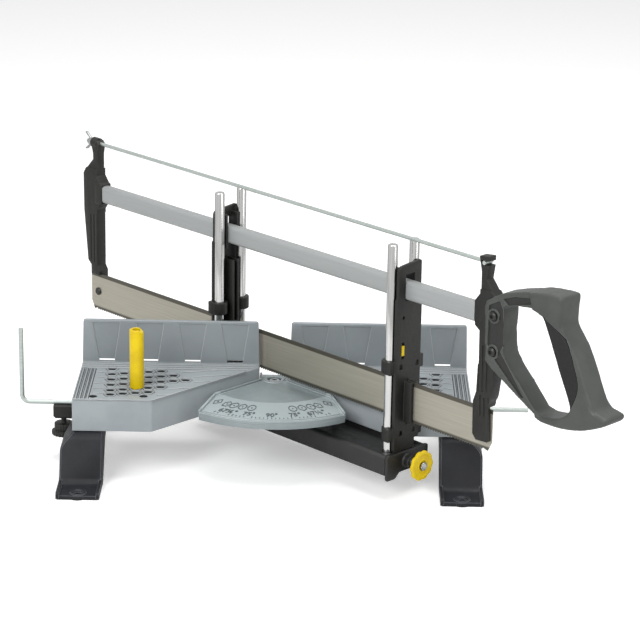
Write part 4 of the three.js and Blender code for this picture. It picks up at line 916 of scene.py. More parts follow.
def make_right_table():
    body = slab(table_outline(), TABLE_BOTTOM, TABLE_TOP)
    round_edges(body, 1.4, 3, lambda a, b: abs(a.z - b.z) > 10 and a.y < -50)
    round_edges(body, 0.8, 2, lambda a, b: a.z > 13.4 and b.z > 13.4 and min(a.y, b.y) < 0)
    carve(body, slab(table_outline(3.5), TABLE_BOTTOM - 2, TABLE_TOP - 3))
    fence = slab(
        [
            (FENCE_GAP, TABLE_TOP - 3),
            (TABLE_REACH, TABLE_TOP - 3),
            (TABLE_REACH - 1.3, FENCE_TOP - 2),
            (TABLE_REACH - 1.8, FENCE_TOP - 0.6),
            (TABLE_REACH - 3.4, FENCE_TOP),
            (FENCE_GAP + 3.4, FENCE_TOP),
            (FENCE_GAP + 1.8, FENCE_TOP - 0.6),
            (FENCE_GAP + 1.3, FENCE_TOP - 2),
        ],
        FENCE_FACE,
        FENCE_BACK,
        "Y",
    )
    soften(fence, 0.5, 2, 40)
    carve(fence, *fence_panels())
    carve(body, fence, operation="UNION")
    places = [(x, y, 0) for x, y in peg_places()]
    carve(body, copies(hole_cutter(), places))
    rings = copies(hole_ring(), places[len(LONE_HOLES) :])
    return gather(body, rings, *top_ribs())


def paint_hollow_shade(obj):
    """Gives the second material, a painted shade, to the holes and underside, and the third, a
    painted shadow, to the lines by the ribs.
    """
    for face in obj.data.polygons:
        x, y, z = face.center / MM
        x = abs(x)
        within = FENCE_GAP + 2 < x < TABLE_REACH - 2 and -TABLE_FRONT + 2 < y < FENCE_FACE
        if within and (x + y - SLANT_INSET) / ROOT_TWO > 2 and z < TABLE_TOP - 0.6:
            face.material_index = 1
        # The thin sheets beside the ribs take the painted shadow.
        if abs(z - RIB_SHADOW_LEVEL) < 0.01:
            face.material_index = 2


right_table = make_right_table()
left_table = flipped(cloned(right_table))
for table, name in ((right_table, "right_table"), (left_table, "left_table")):
    smooth(table, 40)
    fit(table, name + "_cast", "base", "cast_grey", CAST_GREY, name)
    table.data.materials.append(CAST_HOLLOW_SHADE)
    table.data.materials.append(CAST_RIB_SHADOW)
    paint_hollow_shade(table)


# Protractor plate

PLATE_RADIUS = 117.1
PLATE_HALF_ANGLE = 0.637
PLATE_SIDE = FENCE_GAP - 0.4
PLATE_SLANT = SLANT_INSET - 0.4 * ROOT_TWO


def arc_points(radius, from_angle, to_angle, steps):
    """Points about the pivot, angles measured from the front, positive to the right."""
    made = []
    for i in range(steps + 1):
        angle = from_angle + (to_angle - from_angle) * i / steps
        made.append((radius * math.sin(angle), -radius * math.cos(angle)))
    return made


def plate_outline(inset=0.0, radius=PLATE_RADIUS):
    slant = PLATE_SLANT - inset * ROOT_TWO
    side = PLATE_SIDE - inset
    depth = 46.4 + inset * 0.4
    corner = (depth + slant, -depth)
    end = PLATE_HALF_ANGLE - inset / PLATE_RADIUS
    right = [(side, 15 - inset), (side, slant - side), corner]
    arc = arc_points(radius, end, -end, 48)
    left = [(-x, y) for x, y in reversed(right)]
    return right + arc + left


def sector(inner, outer, half_angle, low, high, steps=48):
    points = arc_points(outer, -half_angle, half_angle, steps)
    points += arc_points(inner, half_angle, -half_angle, steps)
    return slab(points, low, high)


STRETCH = 1.5
NUMBER_RADIUS = 101
SHAPE_RADIUS = 84.5
MARK_HEIGHT = 0.7


def lettering(text, size, angle, radius, high):
    """Raised numbers on the scale, read from the front."""
    let_go()
    bpy.ops.object.text_add()
    obj = bpy.context.object
    obj.data.body = text
    obj.data.size = size * MM
    obj.data.extrude = 0.25 * MM
    obj.data.offset = 0.12 * MM
    obj.data.align_x = "CENTER"
    obj.data.align_y = "CENTER"
    take(obj)
    bpy.ops.object.convert(target="MESH")
    obj = bpy.context.object
    obj.scale = (1, STRETCH, 1)
    obj.location = Vector((0, -radius, high)) * MM
    settle(obj)
    return turn(obj, angle)


def ring_mark(sides, size, angle, radius, high):
    """A small raised outline of a shape, which stands for the angle that joins it."""
    let_go()
    bpy.ops.mesh.primitive_cylinder_add(vertices=sides, radius=size * MM, depth=0.5 * MM)
    body = bpy.context.object
    bpy.ops.mesh.primitive_cylinder_add(vertices=sides, radius=(size - 0.65) * MM, depth=2 * MM)
    inner = bpy.context.object
    carve(body, inner)
    body.scale = (1, STRETCH + 0.4, 1)
    body.location = Vector((0, -radius, high)) * MM
    settle(body)
    return turn(body, angle)


def make_plate():
    body = slab(plate_outline(), -4, 0)
    rim = sector(PLATE_RADIUS - 4, PLATE_RADIUS, PLATE_HALF_ANGLE, -8, -2)
    edge = plate_outline(1.1)
    ridges = []
    for way in (1, -1):
        line = [(way * x, y) for x, y in edge[:4]]
        ridges += [stroke(a, b, 2.2, -1, 2.6, "Z") for a, b in zip(line, line[1:])]
    ridges = [soften(ridge, 0.8, 2, 40) for ridge in ridges]
    soften(body, 0.7, 2, 50)
    soften(rim, 0.9, 2, 50)
    bead = sector(111.6, 114.4, PLATE_HALF_ANGLE - 0.03, -1, 1.1)
    soften(bead, 0.9, 3, 50)
    band = sector(67, 111, 0.8, -0.6, 0.5)
    carve(band, slab(plate_outline(4), -2, 2), operation="INTERSECT")
    boss = turned(
        [(7, -3), (7, 0.6), (7.6, 1.2), (9.6, 1.2), (10.5, 0.4), (10.5, -3)], sides=64
    )
    under = turned([(4.3, -21.7), (11.4, -21.7), (12, -21.1), (12, -3), (4.3, -3)], sides=48)
    bore = round_bar((0, 0, -3), 10, 7.0, sides=64)
    carve(body, bore)
    seat = turned([(4.3, -3.4), (7.4, -3.4), (7.4, -2.7), (4.3, -2.7)], sides=48)
    return gather(body, rim, *ridges, bead, band, boss, under, seat)


def make_scale():
    marks = []
    numbers = (("90°", 0), ("75°", 12.5), ("75°", -12.5), ("67½°", 24.5), ("67½°", -24.5))
    for text, degrees in numbers:
        marks.append(lettering(text, 8.2, math.radians(degrees), NUMBER_RADIUS, MARK_HEIGHT))
    for sides, degrees in ((12, 13.3), (6, 19.5), (8, 25.5), (5, 30.8), (4, 38.2)):
        for way in (1, -1):
            angle = math.radians(way * degrees)
            marks.append(ring_mark(sides, 4.1, angle, SHAPE_RADIUS, MARK_HEIGHT))
            dot = block((-0.5, -85.6, 0.3), (0.5, -83.4, 0.95))
            marks.append(turn(dot, angle))
    for degrees in range(-30, 31, 2):
        if abs(degrees) in (12, 24, 26):
            continue
        length = 4.2 if degrees % 10 == 0 else 2.6
        tick = block((-0.35, -110.4, 0.3), (0.35, -110.4 + length, 0.9))
        marks.append(turn(tick, math.radians(degrees)))
    return gather(*marks)


plate = smooth(make_plate(), 40)
fit(plate, "protractor_casting", "base", "plate_grey", PLATE_GREY, "protractor_plate")
scale_marks = make_scale()
fit(scale_marks, "protractor_marks", "base", "plate_grey", RAISED_MARK)


# Swing arm and the rods. X runs along the arm and Y across it, until fit() turns the piece.

SEAT_GAP = 0.3
ARM_HALF = 27
ARM_TOP = -22
ARM_BOTTOM = -41.5
ARM_WALL = 2.5
ARM_REAR = -90
ARM_FRONT = 177
ROD_RADIUS = 4.75
ROD_OFFSET = 14.4
ROD_TOP = 179.5
ROD_FOOT = -35.6
FRONT_RODS = 168.6
REAR_RODS = -64.4
PLUNGER_HEIGHT = -31.7
BOSS_FRONT = 187
KNOB_HUB_REAR = 193.35
KNOB_REAR = 197.1
KNOB_FRONT = 200.5


def make_arm():
    body = block((ARM_REAR, -ARM_HALF, ARM_BOTTOM), (ARM_FRONT, ARM_HALF, ARM_TOP))
    round_edges(body, 3, 4, lambda a, b: abs(a.x - b.x) > 100 and a.z > ARM_TOP - 1)
    hollow = ARM_HALF - ARM_WALL
    carve(
        body,
        block((ARM_REAR - 2, -hollow, ARM_BOTTOM - 2), (ARM_FRONT + 2, hollow, ARM_TOP - ARM_WALL)),
    )
    holes = [round_bar((0, 0, ARM_TOP - 5), 8, 4.3)]
    for place in (FRONT_RODS, REAR_RODS):
        for y in (-ROD_OFFSET, ROD_OFFSET):
            holes.append(round_bar((place, y, ARM_TOP - 5), 8, ROD_RADIUS + SEAT_GAP))
    holes.append(block((74.65, -2.85, ARM_TOP - 5), (86.35, 2.85, ARM_TOP + 3)))
    carve(body, gather(*holes))
    return soften(body, 0.5, 2, 50)


def make_arm_end():
    near = ARM_FRONT + SEAT_GAP
    plate = outline(
        [
            (-ARM_HALF, ARM_BOTTOM - 5.5, 3),
            (12 - ARM_HALF, ARM_BOTTOM - 5.5, 2),
            (17.5 - ARM_HALF, ARM_BOTTOM, 2),
            (ARM_HALF + 2, ARM_BOTTOM, 1.5),
            (ARM_HALF + 2, ARM_TOP, 3),
            (-ARM_HALF, ARM_TOP, 3),
        ]
    )
    body = soften(slab(plate, near, near + 2.7, "X"), 0.7, 3, 50)
    boss = [(0, near + 1), (6.6, near + 1), (6.6, near + 3.4), (6, near + 4), (6, BOSS_FRONT - 0.6)]
    boss += [(5.4, BOSS_FRONT), (0, BOSS_FRONT)]
    carve(body, turned(boss, (0, PLUNGER_HEIGHT), "X"), operation="UNION")
    return carve(body, round_bar((near - 2, 0, PLUNGER_HEIGHT), 15, 4.35, "X"))


def make_rod():
    profile = [
        (0, ROD_FOOT),
        (ROD_RADIUS, ROD_FOOT),
        (ROD_RADIUS, ROD_TOP - 1.2),
        (ROD_RADIUS - 0.35, ROD_TOP - 0.4),
        (ROD_RADIUS - 1.1, ROD_TOP),
        (0, ROD_TOP),
    ]
    return turned(profile, sides=40)


def wavy_rim(radius, depth, lobes, centre, steps=8):
    """Outline of a knob whose rim runs in soft waves."""
    made = []
    for i in range(lobes * steps):
        angle = 2 * math.pi * i / (lobes * steps)
        reach = radius - depth * (0.5 - 0.5 * math.cos(lobes * angle)) ** 2
        made.append((centre[0] + reach * math.cos(angle), centre[1] + reach * math.sin(angle)))
    return made


def make_knob():
    axis_at = (0, PLUNGER_HEIGHT)
    rim = slab(wavy_rim(14.6, 0.9, 10, axis_at), KNOB_REAR, KNOB_FRONT, "X")
    soften(rim, 1.2, 3, 50)
    front, rear = KNOB_FRONT, KNOB_REAR
    dish = turned(
        [(0, front - 0.7), (10.6, front - 0.7), (11.6, front + 0.4), (0, front + 0.4)], axis_at, "X"
    )
    carve(rim, dish, round_bar((rear - 3, 0, PLUNGER_HEIGHT), 12, 3.3, "X"))
    ring = [(4.9, front - 1), (4.9, front - 0.1), (5.3, front + 0.2), (5.9, front + 0.2)]
    seat = turned(ring + [(6.4, front - 0.2), (6.4, front - 1)], axis_at, "X")
    hub = turned(
        [
            (4.3, KNOB_HUB_REAR),
            (5.3, KNOB_HUB_REAR),
            (5.8, KNOB_HUB_REAR + 0.5),
            (5.8, rear + 1),
            (4.3, rear + 1),
        ],
        axis_at,
        "X",
    )
    return gather(rim, seat, hub)


def make_hex_nut(rear, thickness, reach, bore, axis, place):
    """Hexagon nut with turned-off corners."""
    flat = reach * math.cos(math.pi / 6)
    points = [
        (place[0] + reach * math.cos(i * math.pi / 3), place[1] + reach * math.sin(i * math.pi / 3))
        for i in range(6)
    ]
    body = slab(points, rear, rear + thickness, axis)
    dome = turned(
        [
            (0, rear - 1),
            (flat - 0.3, rear),
            (reach + 0.2, rear + 0.9),
            (reach + 0.2, rear + thickness - 0.9),
            (flat - 0.3, rear + thickness),
            (0, rear + thickness + 1),
        ],
        place,
        axis,
    )
    carve(body, dome, operation="INTERSECT")
    return carve(body, round_bar(on_plane(*place, rear - 2, axis) / MM, thickness + 4, bore, axis))


arm = smooth(make_arm())
fit(arm, "arm_channel_black", "arm", "arm_black", ARM_BLACK, "arm_channel", swings=True)
arm_end = smooth(make_arm_end())
fit(arm_end, "arm_end_plate", "arm", "arm_black", ARM_BLACK, "arm_end_bracket", swings=True)
for row, row_at in (("front", FRONT_RODS), ("rear", REAR_RODS)):
    for side, rod_at in (("near", -ROD_OFFSET), ("far", ROD_OFFSET)):
        rod = moved(make_rod(), (row_at, rod_at, 0))
        rod_node = f"{row}_rod_{side}"
        fit(
            smooth(rod, 30),
            rod_node + "_chrome",
            "arm",
            "chrome_rod",
            CHROME,
            rod_node,
            swings=True,
        )
knob = smooth(make_knob())
fit(knob, "lock_knob_yellow", "knob", "yellow_plastic", YELLOW, "lock_knob", swings=True)
nut = smooth(make_hex_nut(KNOB_FRONT + 0.3, 2.2, 4.4, 3.3, "X", (0, PLUNGER_HEIGHT)), 30)
fit(nut, "knob_hex_nut", "knob", "bright_steel", BRIGHT_STEEL, "knob_nut", swings=True)


# Guides

GUIDE_FOOT = -21.7
GUIDE_TOP = 162
GUIDE_NECK = 128
PLATE_NEAR = 6.4
PLATE_FAR = 9.4
BAR_FOOT = 126.1
COLLAR_HEIGHT = 12.6


def make_collar(across, bottom, radius, reach):
    """Tube that runs on a rod, with the web that carries it, for a rod at X 0."""
    top = bottom + COLLAR_HEIGHT
    tube = turned(
        [
            (0, bottom),
            (radius - 0.7, bottom),
            (radius, bottom + 0.7),
            (radius, top - 0.7),
            (radius - 0.7, top),
            (0, top),
        ],
        (0, across),
    )
    near, far = sorted((0, reach))
    web = block((near, across - 8, bottom), (far, across + 8, top))
    soften(web, 0.6, 2, 50)
    carve(tube, web, operation="UNION")
    return carve(tube, round_bar((0, across, bottom - 2), 17, ROD_RADIUS + SEAT_GAP))


def make_guide(place, way, wide, latched):
    """A guide about its rods. way is 1 in front of the pivot and -1 behind it."""

    def span(first, last):
        return sorted((place + way * first, place + way * last))

    def bar(first, last, y0, y1, z0, z1):
        near, far = span(first, last)
        low, high = sorted((y0, y1))
        return block((near, low, z0), (far, high, z1))

    face = outline(
        [
            (-16.5, GUIDE_FOOT, 3),
            (wide, GUIDE_FOOT, 3),
            (wide, GUIDE_NECK, 1),
            (15, GUIDE_NECK + 0.6, 0.6),
            (15, GUIDE_TOP, 3),
            (-15, GUIDE_TOP - 3, 5),
            (-15, GUIDE_NECK + 0.6, 0.6),
            (-16.5, GUIDE_NECK, 1),
        ]
    )
    plate = slab(face, *span(PLATE_NEAR, PLATE_FAR), "X")
    soften(plate, 0.8, 3, 50)
    cuts = [bar(4, 12, -6, 6, BAR_FOOT - 0.3, 151), bar(4, 12, -0.8, 0.8, 3.3, 49)]
    for y, z in ((-9.4, 62), (12.1, 62), (-7.4, -4), (9.4, -4)):
        cuts.append(bar(4, 12, y - 2.2, y + 2.2, z - 2.5, z + 2.5))
    near, far = span(4, 12)
    cuts.append(round_bar((near, -7.4, 109.5), far - near, 1.8, "X", 24))
    if latched:
        cuts.append(bar(4, 12, -9.2, -5.6, 69.5, 85.5))
        cuts.append(bar(4, 12, 11.1, 20, GUIDE_FOOT - 2, -12))
    carve(plate, gather(*cuts))
    parts = [plate]
    for y in (-ROD_OFFSET, ROD_OFFSET):
        for bottom, radius in ((55.7, 8), (-10.3, 6.3)):
            collar = make_collar(y, bottom, radius, way * (PLATE_FAR - 1.5))
            parts.append(moved(collar, (place, 0, 0)))
    for side in (-1, 1):
        rails = (
            bar(-8.5, PLATE_FAR - 1.5, side * 2, side * 4.4, -10, 110),
            bar(-8.5, 18.4, side * 0.8, side * 4.3, 7, 47),
            bar(-3, PLATE_FAR - 1.5, side * 6, side * 8.4, BAR_FOOT - 5, 156),
        )
        parts += [soften(rail, 0.5, 2, 50) for rail in rails]
    return gather(*parts)


front_guide = smooth(make_guide(FRONT_RODS, 1, 16.5, True))
fit(
    front_guide,
    "front_guide_plate",
    "front_carriage",
    "black_plastic",
    BLACK_PLASTIC,
    "front_guide",
    swings=True,
)
rear_guide = smooth(make_guide(REAR_RODS, -1, 20.5, False))
fit(
    rear_guide,
    "rear_guide_plate",
    "rear_carriage",
    "black_plastic",
    BLACK_PLASTIC,
    "rear_guide",
    swings=True,
)
latch_near = FRONT_RODS + PLATE_NEAR
latch = block((latch_near - 2.4, -8.9, 72.6), (latch_near + 3.8, -5.9, 82.4))
soften(latch, 0.5, 2, 50)
flange = block((latch_near - 2.7, -10, 72.6), (latch_near - 0.3, -4.8, 82.4))
latch = gather(latch, soften(flange, 0.3, 2, 50))
fit(
    smooth(latch),
    "guide_latch_button",
    "latch",
    "yellow_plastic",
    YELLOW,
    "guide_latch",
    swings=True,
)


# Saw

BAR_REAR = -257
BAR_FRONT = 262
BAR_HALF = 5.5
BRACKET_HALF = 6
NECK_HALF = 4.5
REAR_BRACKET = (-282.5, 22, 27.5, 169)
REAR_BRACKET_SHARES = [
    (0.42, 1.0), (0.73, 0.995), (0.84, 0.975), (0.76, 0.911), (0.76, 0.778), (0.964, 0.737),
    (1.0, 0.723), (0.876, 0.589), (0.764, 0.565), (0.727, 0.207), (0.858, 0.176), (0.829, 0.0),
    (0.4, 0.0), (0.393, 0.205), (0.211, 0.231), (0.011, 0.552), (0.0, 0.779), (0.12, 0.811),
    (0.51, 0.879), (0.5, 0.919), (0.38, 0.978),
]
FRONT_BRACKET = (262.3, 16.2, 33.7, 173.9)
FRONT_BRACKET_SHARES = [
    (0.08, 0.992), (0.421, 1.0), (0.421, 0.953), (0.359, 0.876), (0.659, 0.807), (1.0, 0.769),
    (1.0, 0.47), (0.739, 0.436), (0.739, 0.343), (0.668, 0.252), (0.561, 0.194), (0.614, 0.005),
    (0.211, 0.0), (0.083, 0.03), (0.062, 0.207), (0.166, 0.265), (0.196, 0.435), (0.181, 0.601),
    (0.033, 0.623), (0.0, 0.752), (0.178, 0.796), (0.172, 0.911),
]
REAR_GROOVES = [
    ((-271.3, 111), (-271.3, 61)),
    ((-266.4, 112), (-266.4, 60)),
    ((-261.5, 113), (-261.5, 59)),
]
FRONT_GROOVES = [
    ((268.7, 120.6), (270.4, 62.2)),
    ((274.1, 107.8), (275.1, 63.5)),
    ((279.6, 93.2), (279.9, 64.8)),
    ((272.9, 60), (273.9, 40)),
    ((277.8, 58.5), (278.7, 40)),
    ((282.5, 59.8), (283.4, 41)),
]


def rod_height(t):
    """Height of the tension rod's axis along the saw."""
    return 187 - 3.5 * (t - BAR_REAR) / (BAR_FRONT - BAR_REAR)


def make_bracket(size, shares, neck, tang, tang_side, grooves):
    """A bracket of the saw's frame, with sunk grooves and a thinner neck and tang."""
    left, foot, width, height = size
    body = slab(shares_to_points(shares, *size), -BRACKET_HALF, BRACKET_HALF, "Y")
    neck_from = foot + neck * height
    cuts = []
    for side in (-1, 1):
        inner, outer = side * NECK_HALF, side * (BRACKET_HALF + 2)
        near, far = sorted((inner, outer))
        cuts.append(block((left - 5, near, neck_from), (left + width + 5, far, 220)))
        for a, b in grooves:
            near, far = sorted((side * (BRACKET_HALF - 0.9), side * (BRACKET_HALF + 1)))
            cuts.append(stroke(a, b, 1.7, near, far))
    near, far = sorted((tang_side * 0.75, -tang_side * (BRACKET_HALF + 2)))
    cuts.append(block((left - 5, near, foot - 5), (left + width + 5, far, foot + tang * height)))
    for cut in cuts:
        carve(body, cut)
    return soften(body, 0.9, 2, 40)


def make_rear_bracket():
    body = make_bracket(REAR_BRACKET, REAR_BRACKET_SHARES, 0.82, 0.15, 1, REAR_GROOVES)
    pocket = block((BAR_REAR - 0.3, -8, 125.8), (BAR_REAR + 27, 8, 144.4))
    carve(body, pocket)
    lip = block((BAR_REAR - 8, -BRACKET_HALF - 0.7, 124), (BAR_REAR + 4, BRACKET_HALF + 0.7, 146.4))
    soften(lip, 2, 3, 50)
    carve(lip, block((BAR_REAR - 0.3, -5.8, 125.8), (BAR_REAR + 27, 5.8, 144.4)))
    eye = turned(
        [(2.1, -272.9), (4.8, -272.9), (5.4, -272), (5.4, -264), (2.1, -264)],
        (0, rod_height(-272)),
        "X",
    )
    return gather(body, lip, eye)


def make_front_bracket():
    body = make_bracket(FRONT_BRACKET, FRONT_BRACKET_SHARES, 0.82, 0.19, -1, FRONT_GROOVES)
    claw_height = rod_height(266.9)
    carve(body, block((266.9, -8, claw_height - 2.1), (300, 8, claw_height + 2.1)))
    carve(body, round_bar((258, 0, rod_height(262)), 12, 2.1, "X"))
    return body


def make_bar():
    body = block((BAR_REAR, -BAR_HALF, BAR_FOOT), (BAR_FRONT, BAR_HALF, 144.1))
    return round_edges(body, 3.4, 5, lambda a, b: abs(a.x - b.x) > 100)


def make_tension_rod():
    rod = round_bar((-282, 0, rod_height(0)), 553, 1.8, "X", 24)
    slope = math.atan(3.5 / (BAR_FRONT - BAR_REAR))
    turn(rod, slope, "Y", (0, 0, rod_height(0)))
    pin = round_bar((271, -5.4, rod_height(271)), 10.8, 1.9, "Y", 24)
    thread = turned([(1.6, 0), (2.05, 0.25), (2.05, 0.45), (1.6, 0.7)], (0, 0), "X", 20)
    threads = copies(thread, [(-281 + 0.9 * i, 0, rod_height(-281)) for i in range(7)])
    return gather(rod, pin, threads)


def make_wing_nut():
    rear = -279.2
    height = rod_height(rear)
    hub = turned(
        [(2.4, rear), (3.2, rear), (3.7, rear + 0.8), (4.1, -273.8), (3.8, -273.2), (2.4, -273.2)],
        (0, height),
        "X",
    )
    wings = []
    for side in (-1, 1):
        wing = outline(
            [
                (-274.6, height + side * 2.6, 0.6),
                (-277.6, height + side * 2.6, 0.6),
                (-285.4, height + side * 8.8, 1.6),
                (-282.4, height + side * 9.4, 1.6),
            ]
        )
        wings.append(soften(slab(wing, -0.95, 0.95, "Y"), 0.4, 2, 50))
    middle = (-276.2, 0, rod_height(-276.2))
    lean = math.atan(rod_height(1) - rod_height(0))
    return turn(gather(hub, *wings), -lean, "Y", middle)


# Handle

HANDLE = (278, 57, 145.2, 118.8)
HANDLE_SHARES = [
    (0.0, 0.751), (0.036, 0.814), (0.134, 0.887), (0.329, 0.958), (0.477, 0.992), (0.605, 1.0),
    (0.621, 0.973), (0.614, 0.824), (0.621, 0.756), (0.708, 0.629), (0.792, 0.435), (0.852, 0.277),
    (0.903, 0.209), (0.985, 0.194), (1.0, 0.157), (0.964, 0.119), (0.821, 0.042), (0.668, 0.002),
    (0.492, 0.0), (0.385, 0.061), (0.162, 0.213), (0.033, 0.308), (0.015, 0.377),
]
OPENING_SHARES = [
    (0.158, 0.731), (0.172, 0.8), (0.379, 0.842), (0.454, 0.813), (0.486, 0.787), (0.623, 0.424),
    (0.709, 0.205), (0.697, 0.139), (0.62, 0.072), (0.489, 0.042), (0.434, 0.069), (0.304, 0.234),
    (0.165, 0.418),
]
GRIP_SIDE = [(0.33, 1.1), (1.1, 1.1), (1.1, -0.1), (0.44, -0.1), (0.44, 0.3), (0.42, 0.7)]
PAD_SHARES = [
    (0.478, 0.795), (0.513, 0.793), (0.656, 0.694), (0.743, 0.492), (0.773, 0.349), (0.729, 0.2),
    (0.7, 0.207), (0.615, 0.424),
]
ROOT_HALF = 10.5
GRIP_HALF = 14
ROOT_RECESS = [
    (283.2, 148.6), (295.8, 155.4), (299.7, 148.0), (301.4, 115.9), (298.3, 108.5),
    (327.9, 72.8), (323.6, 72.2), (292.9, 97.8), (282.8, 111.1),
]
TOP_RECESS = [
    (299.2, 158.0), (312.9, 163.2), (341.2, 168.2), (354.8, 168.8), (353.8, 166.7),
    (330.3, 160.1), (305.3, 153.1),
]
FINGER_GROOVES = [
    ((377.5, 146.7), (392.2, 155.5)),
    ((391.0, 127.5), (405.6, 136.2)),
    ((403.5, 104.5), (418.1, 113.4)),
]
SCREW_AT = 288.8
SCREW_HEIGHTS = (139.3, 106)


def make_handle_blank():
    """The handle's flowing form, before its recesses, slot and pad seat are cut."""
    form = flowing(shares_to_points(HANDLE_SHARES, *HANDLE), 2)
    root = slab(form, -ROOT_HALF, ROOT_HALF, "Y")
    grip = slab(form, -GRIP_HALF, GRIP_HALF, "Y")
    grip_side = slab(shares_to_points(GRIP_SIDE, *HANDLE), -20, 20, "Y")
    carve(grip, grip_side, operation="INTERSECT")
    carve(root, grip, operation="UNION")
    carve(root, slab(flowing(shares_to_points(OPENING_SHARES, *HANDLE), 2), -20, 20, "Y"))
    remesh = root.modifiers.new("remesh", "REMESH")
    remesh.mode = "VOXEL"
    remesh.voxel_size = 1.3 * MM
    apply_all(root)
    full = root.vertex_groups.new(name="full")
    for vertex in root.data.vertices:
        along = (vertex.co.x / MM - 325) / 30
        full.add([vertex.index], min(1.0, max(0.3, along)), "REPLACE")
    easing = root.modifiers.new("easing", "SMOOTH")
    easing.factor = 0.5
    easing.iterations = 28
    easing.vertex_group = "full"
    apply_all(root)
    root.vertex_groups.clear()
    return root


def grown(points, margin):
    """An outline moved outwards, for points that run clockwise."""
    made = []
    count = len(points)
    for i in range(count):
        before, here, after = (Vector(points[(i + k) % count]) for k in (-1, 0, 1))
        first, second = (here - before).normalized(), (after - here).normalized()
        way = Vector((-first.y - second.y, first.x + second.x))
        way *= 2 * margin / max(way.length_squared, 0.5)
        made.append(tuple(here + way))
    return made


def pad_prism(margin, half=20.0):
    points = flowing(shares_to_points(PAD_SHARES, *HANDLE), 3)
    return slab(grown(points, margin), -half, half, "Y")


def pad_core(margin):
    """The hard middle of the grip, under the pad."""
    points = shares_to_points(PAD_SHARES, *HANDLE)
    half = 11.5 - margin
    return slab([(t + 3 + margin, z) for t, z in points], -half, half, "Y")


def skin_cutter(blank, shape, depth):
    """The part of a shape that lies in the outer skin of a body."""
    inner = cloned(blank)
    take(inner)
    bpy.ops.object.mode_set(mode="EDIT")
    bpy.ops.mesh.select_all(action="SELECT")
    bpy.ops.transform.shrink_fatten(value=-depth * MM)
    bpy.ops.object.mode_set(mode="OBJECT")
    return carve(shape, inner)


def make_handle_and_pad():
    blank = make_handle_blank()
    pad = carve(cloned(blank), pad_prism(0), operation="INTERSECT")
    carve(pad, pad_core(0))
    core = carve(cloned(blank), pad_core(0.3), operation="INTERSECT")
    grooves = gather(*[stroke(a, b, 2.4, -20, 20) for a, b in FINGER_GROOVES])
    skin_cutter(blank, grooves, 1.7)
    body = carve(blank, pad_prism(0.55), grooves)
    carve(body, core, operation="UNION")
    cuts = [block((270, -6.3, HANDLE[1] - 5), (296.3, 6.3, 180))]
    for low, high in ((-12.5, -9.3), (9.3, 12.5)):
        cuts.append(slab(outline([(*p, 1.5) for p in ROOT_RECESS], 3), low, high, "Y"))
        cuts.append(slab(outline([(*p, 0.8) for p in TOP_RECESS], 3), low, high, "Y"))
    carve(body, gather(*cuts))
    rings = []
    for height in SCREW_HEIGHTS:
        for way in (-1, 1):
            face = 9.3 * way
            ring = [(4.7, face - way), (4.7, face + 0.9 * way), (5.3, face + 1.3 * way)]
            ring += [(6.3, face + 1.3 * way), (6.9, face + 0.9 * way), (6.9, face - way)]
            rings.append(turned(ring, (SCREW_AT, height), "Y"))
    return gather(body, *rings), pad


def make_handle_screw(height):
    """Dome-headed screw with a hexagon socket, and its nut on the far side."""
    face = -ROOT_HALF - SEAT_GAP
    dome = [(0, face - 2), (2, face - 2), (3.5, face - 1.4), (4.2, face - 0.5)]
    head = turned(
        [*dome, (4.2, face), (0, face)],
        (SCREW_AT, height),
        "Y",
    )
    socket = [
        (SCREW_AT + 1.9 * math.cos(i * math.pi / 3), height + 1.9 * math.sin(i * math.pi / 3))
        for i in range(6)
    ]
    carve(head, slab(socket, face - 3, face - 0.7, "Y"))
    shank = round_bar((SCREW_AT, face - 0.4, height), -2 * face - 0.4, 2.5, "Y", 24)
    nut = make_hex_nut(-face, 2, 4.2, 2.5, "Y", (SCREW_AT, height))
    return gather(head, shank, nut)


bar_piece = smooth(make_bar())
fit(bar_piece, "spacer_bar_grey", "saw", "bar_grey", BAR_GREY, "spacer_bar", swings=True)
rear_bracket = smooth(make_rear_bracket(), 30)
fit(
    rear_bracket,
    "rear_bracket_black",
    "saw",
    "black_plastic",
    BLACK_PLASTIC,
    "rear_bracket",
    swings=True,
)
front_bracket = smooth(make_front_bracket(), 30)
fit(
    front_bracket,
    "front_bracket_black",
    "saw",
    "black_plastic",
    BLACK_PLASTIC,
    "front_bracket",
    swings=True,
)
tension = smooth(make_tension_rod())
fit(tension, "tension_rod_wire", "saw", "bright_steel", WIRE_STEEL, "tension_rod", swings=True)
wing_nut = smooth(make_wing_nut())
fit(
    wing_nut,
    "wing_nut_steel",
    "tension_nut",
    "bright_steel",
    BRIGHT_STEEL,
    "wing_nut",
    swings=True,
)
handle, pad = make_handle_and_pad()
fit(
    smooth(handle, 40),
    "handle_grey_grip",
    "saw",
    "handle_grey",
    HANDLE_GREY,
    "handle",
    swings=True,
)
handle.data.materials.append(HANDLE_RECESS_SHADE)
# Painted shade: the floors of the side recesses near the root take the second, darker material.
for face in handle.data.polygons:
    middle = face.center / MM
    across = abs(middle.x + middle.y) / ROOT_TWO
    if 9.1 < across < 9.5 and abs(face.normal.z) < 0.2 and middle.x - middle.y < 345 * ROOT_TWO:
        face.material_index = 1
fit(smooth(pad, 40), "soft_grip_pad", "saw", "pad_rubber", PAD_RUBBER, "grip_pad", swings=True)
for where, height in zip(("upper", "lower"), SCREW_HEIGHTS):
    screw = smooth(make_handle_screw(height))
    screw_node = where + "_handle_screw"
    fit(screw, screw_node + "_head", "saw", "bright_steel", DARK_STEEL, screw_node, swings=True)


# Feet


